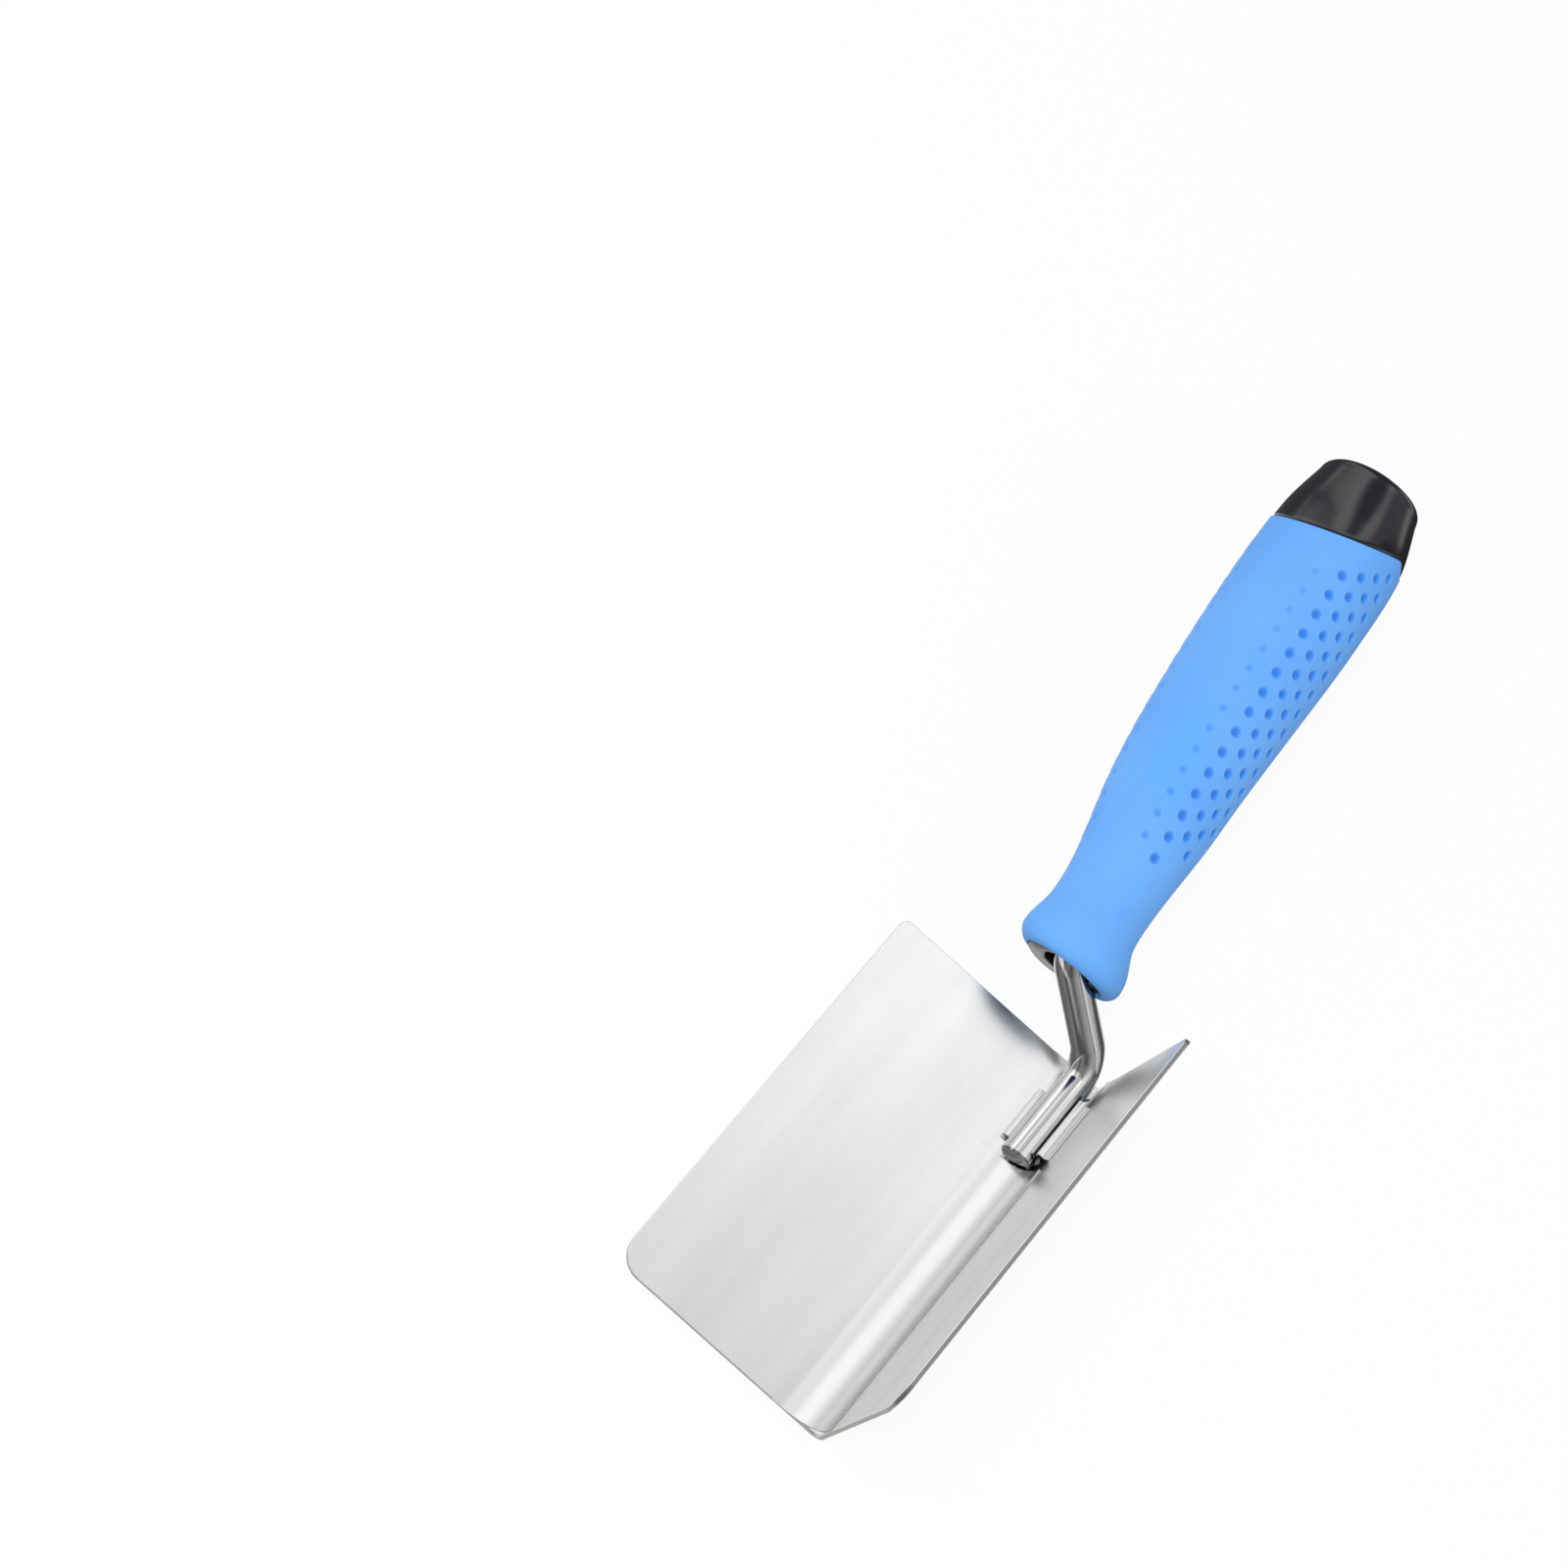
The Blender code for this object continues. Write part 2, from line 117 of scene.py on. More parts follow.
@dataclass(frozen=True)
class ToolFrame:
    """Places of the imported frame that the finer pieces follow, in millimetres."""

    wing_width: float
    blade_length: float
    half_fold: float = math.radians(45.0)

    @classmethod
    def from_packed(cls) -> "ToolFrame":
        """Read the wing's width and the blade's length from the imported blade."""
        low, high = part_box("blade")
        return cls((high.x - low.x) / MM, (high.y - low.y) / MM)

    def place_all(self, shape: bmesh.types.BMesh) -> None:
        """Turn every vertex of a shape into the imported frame.

        Args:
            shape: the shape, in millimetres on the tool's own axes.
        """
        turn = Matrix.Rotation(-self.half_fold, 4, "Y")
        shift = Matrix.Translation((self.wing_width / 2, -self.blade_length / 2, 0.0))
        bmesh.ops.transform(shape, matrix=Matrix.Scale(MM, 4) @ shift @ turn, verts=shape.verts)


def skin(stations: Sequence[Station], turns: Sequence[float]) -> bmesh.types.BMesh:
    """Wrap a grid over a run of stations. Meeting seams are merged and open ends filled.

    Args:
        stations: one function for each section, from a share of its round to a point.
        turns: the shares of the round, from 0 to 1, at which each section has a point.

    Returns:
        A closed shape with its grid as a UV map.
    """
    shape = bmesh.new()
    shape.loops.layers.uv.verify()
    across = len(turns) - 1
    along = len(stations) - 1
    bmesh.ops.create_grid(shape, x_segments=across, y_segments=along, size=0.5, calc_uvs=True)
    for vert in shape.verts:
        section = stations[round((vert.co.y + 0.5) * along)]
        vert.co = section(turns[round((vert.co.x + 0.5) * across)])
    bmesh.ops.remove_doubles(shape, verts=shape.verts, dist=MERGE_DISTANCE)
    open_edges = [edge for edge in shape.edges if edge.is_boundary]
    if open_edges:
        bmesh.ops.holes_fill(shape, edges=open_edges, sides=0)
    bmesh.ops.recalc_face_normals(shape, faces=shape.faces)
    return shape


def even_turns(count: int) -> list[float]:
    """Shares of a round, evenly spaced, with both ends."""
    return [index / count for index in range(count + 1)]


def closed(outline: list[Vector]) -> list[Vector]:
    """Outline with its first point repeated at the end."""
    return outline + outline[:1]


def sheet_section(middle: Sequence[Vector], thickness: float) -> list[Vector]:
    """Closed outline of a bent sheet.

    Args:
        middle: points of the sheet's middle surface, as (x, z) pairs.
        thickness: the sheet's thickness.

    Returns:
        The outline, over the sheet and back under it.
    """
    upper = []
    lower = []
    last = len(middle) - 1
    for index, point in enumerate(middle):
        along = (middle[min(index + 1, last)] - middle[max(index - 1, 0)]).normalized()
        across = Vector((-along.y, along.x)) * (thickness / 2)
        upper.append(point + across)
        lower.append(point - across)
    return closed(upper + lower[::-1])


def arc(centre: Pair, radius: float, start: float, turn: float, steps: int) -> list[Vector]:
    """Points of a plane arc from a start angle through a turn.

    Args:
        centre: the arc's centre.
        radius: its radius.
        start: angle of its first point, in radians.
        turn: angle that it runs through, below zero for a clockwise arc.
        steps: how many even steps it has.

    Returns:
        The points, with both ends.
    """
    points = []
    for step in range(steps + 1):
        angle = start + turn * step / steps
        points.append(Vector((centre[0] + radius * math.cos(angle), centre[1] + radius * math.sin(angle))))
    return points


def outline_station(outline: Sequence[Vector], depth: Callable[[int], float]) -> Station:
    """Section of a sheet at a depth along the fold that may differ from point to point.

    Args:
        outline: the section as (x, z) points, with its first point repeated at the end.
        depth: gives the depth for a point's number.

    Returns:
        The section as a station.
    """
    count = len(outline) - 1

    def at(share: float) -> Vector:
        """Point of the section at a share of its round."""
        index = round(share * count)
        return Vector((outline[index].x, depth(index % count), outline[index].y))

    return at


def straight_run(outline: Sequence[Vector], depths: Sequence[float]) -> list[Station]:
    """Equal sections, square to the fold, at each of the depths."""
    return [outline_station(outline, lambda _, at=depth: at) for depth in depths]


def sheet_bar(outline: Sequence[Vector], stations: Sequence[Station]) -> bmesh.types.BMesh:
    """Bar over a run of sections that follow one outline."""
    return skin(stations, even_turns(len(outline) - 1))


@dataclass
class Piece:
    """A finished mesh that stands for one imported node."""

    name: str
    node: str
    slot: str
    sharp_from: float = 32.0
    flat_faces: bool = False

    def make(self, shape: bmesh.types.BMesh, finish: bpy.types.Material) -> bpy.types.Object:
        """Turn a shape into a dressed object that replaces its node and rides on the tool.

        Args:
            shape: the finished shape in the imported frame, which is freed.
            finish: the material that it wears.

        Returns:
            The new object.
        """
        mesh = bpy.data.meshes.new(self.name)
        shape.to_mesh(mesh)
        shape.free()
        mesh.shade_smooth()
        mesh.set_sharp_from_angle(angle=math.radians(self.sharp_from))
        mesh.materials.append(finish)
        thing = bpy.data.objects.new(self.name, mesh)
        bpy.context.scene.collection.objects.link(thing)
        if self.flat_faces:
            weighted = thing.modifiers.new("flat_faces", "WEIGHTED_NORMAL")
            weighted.keep_sharp = True
        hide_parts(self.node)
        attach(thing, "root")
        LOG.info("%s: %d faces for %s", self.name, len(mesh.polygons), self.node)
        return thing


class Nodes:
    """Short hand for laying out shader nodes in one tree."""

    def __init__(self, tree: bpy.types.NodeTree) -> None:
        """Work in the given tree."""
        self.tree = tree

    def add(self, kind: str, settings: dict | None = None, **inputs: object) -> bpy.types.Node:
        """Add a node.

        Args:
            kind: the node's type name.
            settings: properties of the node itself.
            inputs: values or outputs to link, by socket name with spaces as underscores, or by the
                letter i and the socket's number.

        Returns:
            The new node.
        """
        node = self.tree.nodes.new(kind)
        for name, value in (settings or {}).items():
            setattr(node, name, value)
        for name, value in inputs.items():
            self.feed(node.inputs[int(name[1:]) if name[1:].isdigit() else name.replace("_", " ")], value)
        return node

    def feed(self, socket: bpy.types.NodeSocket, value: object) -> None:
        """Link an output to a socket, or set the socket's own value.

        Args:
            socket: the input socket.
            value: an output to link, or a value to set.
        """
        if isinstance(value, bpy.types.NodeSocket):
            self.tree.links.new(value, socket)
        else:
            socket.default_value = value

    def maths(self, operation: str, one: object, two: object, three: object = 0.0) -> bpy.types.NodeSocket:
        """Result of a Math node."""
        return self.add("ShaderNodeMath", {"operation": operation}, i0=one, i1=two, i2=three).outputs[0]

    def vectors(self, operation: str, one: object, two: object = (0.0, 0.0, 0.0)) -> bpy.types.NodeSocket:
        """Result of a Vector Math node, which is a number for a dot product."""
        node = self.add("ShaderNodeVectorMath", {"operation": operation}, i0=one, i1=two)
        return node.outputs["Value" if operation == "DOT_PRODUCT" else "Vector"]

    def attribute(self, name: str, output: str = "Fac") -> bpy.types.NodeSocket:
        """Value that a layer of the mesh carries."""
        return self.add("ShaderNodeAttribute", {"attribute_name": name}).outputs[output]

    def ranged(self, value: object, source: Pair, target: Pair) -> bpy.types.NodeSocket:
        """Value carried from one range to another, held at its ends.

        Args:
            value: a number or an output.
            source: the range that it comes from.
            target: the range that it is carried to.

        Returns:
            The output with the new value.
        """
        node = self.add("ShaderNodeMapRange", Value=value)
        for name, number in zip(("From Min", "From Max", "To Min", "To Max"), source + target):
            node.inputs[name].default_value = number
        return node.outputs["Result"]

    def mixed(self, share: object, one: object, other: object) -> bpy.types.NodeSocket:
        """Colour between two colours."""
        # The node keeps sockets for each kind of value. These are the ones for colours.
        return self.add("ShaderNodeMix", {"data_type": "RGBA"}, i0=share, i6=one, i7=other).outputs[2]

    def noise(self, vector: object, scale: object, detail: float, rough: float = 0.5) -> bpy.types.NodeSocket:
        """Value of a noise texture."""
        return self.add("ShaderNodeTexNoise", Vector=vector, Scale=scale, Detail=detail,
                        Roughness=rough).outputs["Fac"]


def new_group(
    name: str, inputs: dict[str, str], outputs: Sequence[str]
) -> tuple[Nodes, dict[str, bpy.types.NodeSocket], bpy.types.Node]:
    """Start a shader node group.

    Args:
        name: the group's name.
        inputs: socket names with their kinds, NodeSocketVector or NodeSocketFloat.
        outputs: names of its value outputs.

    Returns:
        The node layer, the input sockets by name, and the group's output node.
    """
    tree = bpy.data.node_groups.new(name, "ShaderNodeTree")
    for label, kind in inputs.items():
        tree.interface.new_socket(name=label, in_out="INPUT", socket_type=kind)
    for label in outputs:
        tree.interface.new_socket(name=label, in_out="OUTPUT", socket_type="NodeSocketFloat")
    nodes = Nodes(tree)
    source = nodes.add("NodeGroupInput")
    sink = nodes.add("NodeGroupOutput")
    return nodes, {label: source.outputs[label] for label in inputs}, sink


@dataclass
class SharedEffects:
    """The node groups that several finishes place with their own values."""

    cloud_scale: float = 26.0
    tone_scale: float = 38.0
    dust_scale: float = 420.0
    pebble_smoothness: float = 0.7
    pebble_height: float = 0.6

    def __post_init__(self) -> None:
        """Build each group once."""
        self.grain = self.grain_and_reflection_streaks()
        self.skin = self.moulded_skin()

    def grain_and_reflection_streaks(self) -> bpy.types.NodeTree:
        """Fine lines and broad streaks that run one way over a metal; on the rod the broad streaks paint its
        reflection bands.

        Returns:
            The group, which puts out Line, Streak and Cloud.
        """
        nodes, given, sink = new_group(
            "grain_and_reflection_streaks",
            {"Vector": "NodeSocketVector", "Lines": "NodeSocketVector", "Streaks": "NodeSocketVector"},
            ("Line", "Streak", "Cloud"),
        )
        where = given["Vector"]
        lines = nodes.vectors("MULTIPLY", where, given["Lines"])
        streaks = nodes.vectors("MULTIPLY", where, given["Streaks"])
        nodes.feed(sink.inputs["Line"], nodes.noise(lines, scale=1.0, detail=3.0, rough=0.6))
        nodes.feed(sink.inputs["Streak"], nodes.noise(streaks, scale=1.0, detail=2.0, rough=0.45))
        nodes.feed(sink.inputs["Cloud"], nodes.noise(where, scale=self.cloud_scale, detail=2.0))
        return nodes.tree

    def moulded_skin(self) -> bpy.types.NodeTree:
        """The fine pebbled skin of a moulding, with slow changes of tone.

        Returns:
            The group, which puts out Height, Tone and Dust.
        """
        nodes, given, sink = new_group(
            "moulded_skin",
            {"Vector": "NodeSocketVector", "Scale": "NodeSocketFloat"},
            ("Height", "Tone", "Dust"),
        )
        where = given["Vector"]
        pebble = nodes.add("ShaderNodeTexVoronoi", {"feature": "SMOOTH_F1"}, Vector=where,
                           Scale=given["Scale"], Smoothness=self.pebble_smoothness)
        fine = nodes.noise(where, scale=given["Scale"], detail=3.0)
        height = nodes.maths("MULTIPLY_ADD", pebble.outputs["Distance"], self.pebble_height, fine)
        nodes.feed(sink.inputs["Height"], height)
        nodes.feed(sink.inputs["Tone"], nodes.noise(where, scale=self.tone_scale, detail=3.0, rough=0.55))
        nodes.feed(sink.inputs["Dust"], nodes.noise(where, scale=self.dust_scale, detail=4.0, rough=0.65))
        return nodes.tree


def start_finish(name: str) -> tuple[bpy.types.Material, Nodes, bpy.types.Node]:
    """Start a material.

    Args:
        name: the material's name.

    Returns:
        The material, its node layer and its Principled shader.
    """
    material = bpy.data.materials.new(name)
    material.use_nodes = True
    nodes = Nodes(material.node_tree)
    return material, nodes, material.node_tree.nodes["Principled BSDF"]


@dataclass(frozen=True)
class SteelFinish:
    """Bare steel with a grain that runs one way. Where its dark and light lie far apart, as on the rod, the
    broad streaks are painted reflection bands.

    A mesh may carry three layers for it: a dull layer on cut edges, which also paints shade in the liner's
    crease, softened on rubbed faces, and lean where a sheet is sprung out of true.
    """

    name: str
    dark: float
    light: float
    smooth: float
    rough: float
    lines: Triple
    streaks: Triple
    coordinates: Coordinates = Coordinates.OBJECT
    relief: float = 0.08
    relief_depth: float = 0.00004
    spread: Pair = NOISE_SPAN
    line_share: float = 0.25
    dark_tint: Triple = (1.0, 0.995, 0.975)
    light_tint: Triple = (1.0, 1.0, 0.99)
    dull_edge_and_crease_shade_tone: float = 0.48
    dull_rough: float = 0.26

    def make(self, effects: SharedEffects) -> bpy.types.Material:
        """Build the material.

        Args:
            effects: the shared node groups.

        Returns:
            The finished material.
        """
        material, nodes, shader = start_finish(self.name)
        where = nodes.add("ShaderNodeTexCoord").outputs[self.coordinates.value]
        grain = nodes.add("ShaderNodeGroup", {"node_tree": effects.grain}, Vector=where, Lines=self.lines,
                          Streaks=self.streaks).outputs
        broad = nodes.maths("MULTIPLY", grain["Streak"], 1 - self.line_share)
        tone = nodes.maths("MULTIPLY_ADD", grain["Line"], self.line_share, broad)
        dark = tuple(self.dark * part for part in self.dark_tint)
        light = tuple(self.light * part for part in self.light_tint)
        # On the rod this tone paints reflection bands; on the sheets it is the grain's own tone.
        colour = nodes.mixed(nodes.ranged(tone, self.spread, WHOLE), (*dark, 1.0), (*light, 1.0))
        # This mask darkens and roughens cut edges, which are duller, and paints shade in the liner's crease.
        worn = nodes.attribute("dull_edge_and_crease_shade")
        colour = nodes.mixed(worn, colour, (self.dark * self.dull_edge_and_crease_shade_tone,) * 3 + (1.0,))
        nodes.feed(shader.inputs["Base Color"], colour)
        sheen = nodes.ranged(grain["Cloud"], NOISE_SPAN, (self.smooth, self.rough))
        rough = nodes.maths("MULTIPLY_ADD", worn, self.dull_rough, sheen)
        nodes.feed(shader.inputs["Roughness"], nodes.maths("ADD", rough, nodes.attribute("softened")))
        shader.inputs["Metallic"].default_value = 1.0
        square = nodes.add("ShaderNodeNewGeometry").outputs["Normal"]
        sprung = nodes.vectors("ADD", square, nodes.attribute("lean", "Vector"))
        bump = nodes.add("ShaderNodeBump", Strength=self.relief, Distance=self.relief_depth,
                         Height=grain["Line"], Normal=nodes.vectors("NORMALIZE", sprung))
        nodes.feed(shader.inputs["Normal"], bump.outputs["Normal"])
        return material


@dataclass(frozen=True)
class SoftRubberFinish:
    """Matt blue moulding, with painted shade deeper inside its dimples."""

    name: str = "soft_blue_rubber"
    light: Triple = (0.160, 0.440, 0.970)
    shade: Triple = (0.130, 0.405, 0.955)
    # Painted shade: the colour laid into the dimples' hollows by their depth.
    hollow: Triple = (0.035, 0.22, 0.74)
    dust: Triple = (0.75, 0.82, 0.92)
    dust_span: Pair = (0.62, 0.8)
    dust_share: Pair = (0.0, 0.06)
    pebbles: float = 3600.0
    roughness: Pair = (0.52, 0.66)
    specular: float = 0.22
    sheen: float = 0.03
    sheen_roughness: float = 0.5
    relief: float = 0.16
    relief_depth: float = 0.00006

    def make(self, effects: SharedEffects) -> bpy.types.Material:
        """Build the material.

        Args:
            effects: the shared node groups.

        Returns:
            The finished material.
        """
        material, nodes, shader = start_finish(self.name)
        where = nodes.add("ShaderNodeTexCoord").outputs["Object"]
        moulded = nodes.add("ShaderNodeGroup", {"node_tree": effects.skin}, Vector=where,
                            Scale=self.pebbles).outputs
        tone = nodes.ranged(moulded["Tone"], NOISE_SPAN, WHOLE)
        colour = nodes.mixed(tone, (*self.shade, 1.0), (*self.light, 1.0))
        # Painted shade in the dimples, by how deep each point lies.
        colour = nodes.mixed(nodes.attribute("dimple"), colour, (*self.hollow, 1.0))
        dusty = nodes.ranged(moulded["Dust"], self.dust_span, self.dust_share)
        nodes.feed(shader.inputs["Base Color"], nodes.mixed(dusty, colour, (*self.dust, 1.0)))
        nodes.feed(shader.inputs["Roughness"], nodes.ranged(moulded["Dust"], NOISE_SPAN, self.roughness))
        shader.inputs["Specular IOR Level"].default_value = self.specular
        shader.inputs["Sheen Weight"].default_value = self.sheen
        shader.inputs["Sheen Roughness"].default_value = self.sheen_roughness
        bump = nodes.add("ShaderNodeBump", Strength=self.relief, Distance=self.relief_depth,
                         Height=moulded["Height"])
        nodes.feed(shader.inputs["Normal"], bump.outputs["Normal"])
        return material


@dataclass(frozen=True)
class HardPlasticFinish:
    """Satin black moulding with a little wear."""

    name: str = "hard_black_plastic"
    deep: Triple = (0.009, 0.010, 0.013)
    worn: Triple = (0.021, 0.022, 0.028)
    worn_share: Pair = (0.0, 0.8)
    pebbles: float = 2600.0
    roughness: Pair = (0.19, 0.27)
    specular: float = 0.9
    relief: float = 0.10
    relief_depth: float = 0.00005

    def make(self, effects: SharedEffects) -> bpy.types.Material:
        """Build the material.

        Args:
            effects: the shared node groups.

        Returns:
            The finished material.
        """
        material, nodes, shader = start_finish(self.name)
        where = nodes.add("ShaderNodeTexCoord").outputs["Object"]
        moulded = nodes.add("ShaderNodeGroup", {"node_tree": effects.skin}, Vector=where,
                            Scale=self.pebbles).outputs
        tone = nodes.ranged(moulded["Tone"], NOISE_SPAN, self.worn_share)
        nodes.feed(shader.inputs["Base Color"], nodes.mixed(tone, (*self.deep, 1.0), (*self.worn, 1.0)))
        nodes.feed(shader.inputs["Roughness"], nodes.ranged(moulded["Dust"], NOISE_SPAN, self.roughness))
        shader.inputs["Specular IOR Level"].default_value = self.specular
        bump = nodes.add("ShaderNodeBump", Strength=self.relief, Distance=self.relief_depth,
                         Height=moulded["Height"])
        nodes.feed(shader.inputs["Normal"], bump.outputs["Normal"])
        return material


@dataclass
class Blade:
    """The folded sheet, with round front corners and rubbed edges."""

    frame: ToolFrame
    sheet: float = 1.2
    fold_inside: float = 1.8
    front_corner: float = 6.5
    back_corner: float = 2.0
    edge_round: float = 0.16
    edge_steps: int = 3
    corner_steps: int = 14
    fold_steps: int = 14
    touch: float = 0.01
    cut_depth: float = 0.0001
    rim_angle: float = math.radians(60.0)
    left_lean: Triple = (-0.095, -0.09, 0.0)
    right_lean: Triple = (0.0, 0.0, 0.09)
    right_rub: float = 0.16
    inside_from: float = 0.65
    sheared_from: float = 0.25
    end_from: float = 0.9

    @property
    def fold_outside(self) -> float:
        """Outside radius of the fold."""
        return self.fold_inside + self.sheet

    @property
    def wing_seat(self) -> float:
        """Height at which the insides of the two wings would meet."""
        return self.sheet / math.cos(self.frame.half_fold)

    @property
    def half_arc(self) -> float:
        """Half of the fold's length round its outside."""
        return self.fold_outside * self.frame.half_fold

    @property
    def half_width(self) -> float:
        """Half of the flat blank's width."""
        return self.frame.wing_width - self.fold_outside + self.half_arc

    def on_wings(self, left: float, right: float) -> Vector:
        """Point of the trough as (x, z), from its distances along the insides of the two wings."""
        turn = self.frame.half_fold
        return Vector(((right - left) * math.sin(turn), (right + left) * math.cos(turn) + self.wing_seat))

    def folded(self, run: float, depth: float) -> Vector:
        """Point of the folded outside, from its run across the flat blank and its depth along the fold.

        Args:
            run: distance from the middle of the fold across the flat blank.
            depth: distance along the fold.

        Returns:
            The point on the tool's own axes.
        """
        turn = self.frame.half_fold
        centre = self.fold_outside / math.sin(turn)
        bent = min(max(run, -self.half_arc), self.half_arc)
        angle = bent / self.fold_outside
        rest = run - bent
        x = self.fold_outside * math.sin(angle) + rest * math.cos(turn)
        z = centre - self.fold_outside * math.cos(angle) + abs(rest) * math.sin(turn)
        return Vector((x, depth, z))

    def shape(self) -> bmesh.types.BMesh:
        """Cut the flat blank, round its corners, fold it, give it its thickness and break its edges.

        Returns:
            The shape, with the layers that its finish reads.
        """
        shape = bmesh.new()
        length = self.frame.blade_length
        bmesh.ops.create_grid(shape, x_segments=1, y_segments=1, size=0.5)
        bmesh.ops.scale(shape, vec=(2 * self.half_width, length, 1.0), verts=shape.verts)
        bmesh.ops.translate(shape, vec=(0.0, length / 2, 0.0), verts=shape.verts)
        for depth, radius in ((0.0, self.front_corner), (length, self.back_corner)):
            spots = [Vector((side * self.half_width, depth, 0.0)) for side in (-1, 1)]
            corners = [v for v in shape.verts if min((v.co - spot).length for spot in spots) < self.touch]
            bmesh.ops.bevel(shape, geom=corners, offset=radius, offset_type="OFFSET", affect="VERTICES",
                            segments=self.corner_steps, profile=0.5, material=-1)
        for step in range(self.fold_steps + 1):
            run = -self.half_arc + 2 * self.half_arc * step / self.fold_steps
            everything = list(shape.verts) + list(shape.edges) + list(shape.faces)
            bmesh.ops.bisect_plane(shape, geom=everything, dist=self.cut_depth, plane_co=(run, 0.0, 0.0),
                                   plane_no=(1.0, 0.0, 0.0))
        for vert in shape.verts:
            vert.co = self.folded(vert.co.x, vert.co.y)
        bmesh.ops.recalc_face_normals(shape, faces=shape.faces)
        if sum(face.normal.z for face in shape.faces) > 0:
            bmesh.ops.reverse_faces(shape, faces=shape.faces)
        bmesh.ops.solidify(shape, geom=shape.faces, thickness=self.sheet)
        bmesh.ops.recalc_face_normals(shape, faces=shape.faces)
        rim = [e for e in shape.edges if e.is_manifold and e.calc_face_angle() > self.rim_angle]
        bmesh.ops.bevel(shape, geom=rim, offset=self.edge_round, offset_type="OFFSET", affect="EDGES",
                        segments=self.edge_steps, profile=0.5, material=-1)
        self.mark_cut_edges(shape)
        self.mark_lean(shape)
        return shape

    def mark_lean(self, shape: bmesh.types.BMesh) -> None:
        """Mark how the wings' insides are sprung out of true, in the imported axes, and which is rubbed.

        Args:
            shape: the blade's shape, before it is placed.
        """
        layer = shape.faces.layers.float_vector.new("lean")
        softened = shape.faces.layers.float.new("softened")
        for face in shape.faces:
            if min(abs(face.normal.x), face.normal.z) > self.inside_from:
                face[layer] = Vector(self.left_lean if face.normal.x > 0 else self.right_lean)
                face[softened] = 0.0 if face.normal.x > 0 else self.right_rub

    def mark_cut_edges(self, shape: bmesh.types.BMesh) -> None:
        """Mark the sheared faces round the sheet, which are duller than its two sides.

        Args:
            shape: the blade's shape, before it is placed.
        """
        layer = shape.faces.layers.float.new("dull_edge_and_crease_shade")
        for face in shape.faces:
            middle = face.calc_center_median()
            depth = (middle.z - abs(middle.x)) * math.cos(self.frame.half_fold) / self.sheet
            in_edge = self.sheared_from < depth < 1 - self.sheared_from
            sheared = in_edge and abs(middle.x) > 2 * self.fold_outside
            face[layer] = 1.0 if sheared or abs(face.normal.y) > self.end_from else 0.0

    def build(self, finish: bpy.types.Material) -> bpy.types.Object:
        """Make the blade and dress it.

        Args:
            finish: the material that it wears.

        Returns:
            The blade's object.
        """
        shape = self.shape()
        self.frame.place_all(shape)
        piece = Piece("folded_blade", "blade", "satin_stainless", sharp_from=40.0, flat_faces=True)
        return piece.make(shape, finish)


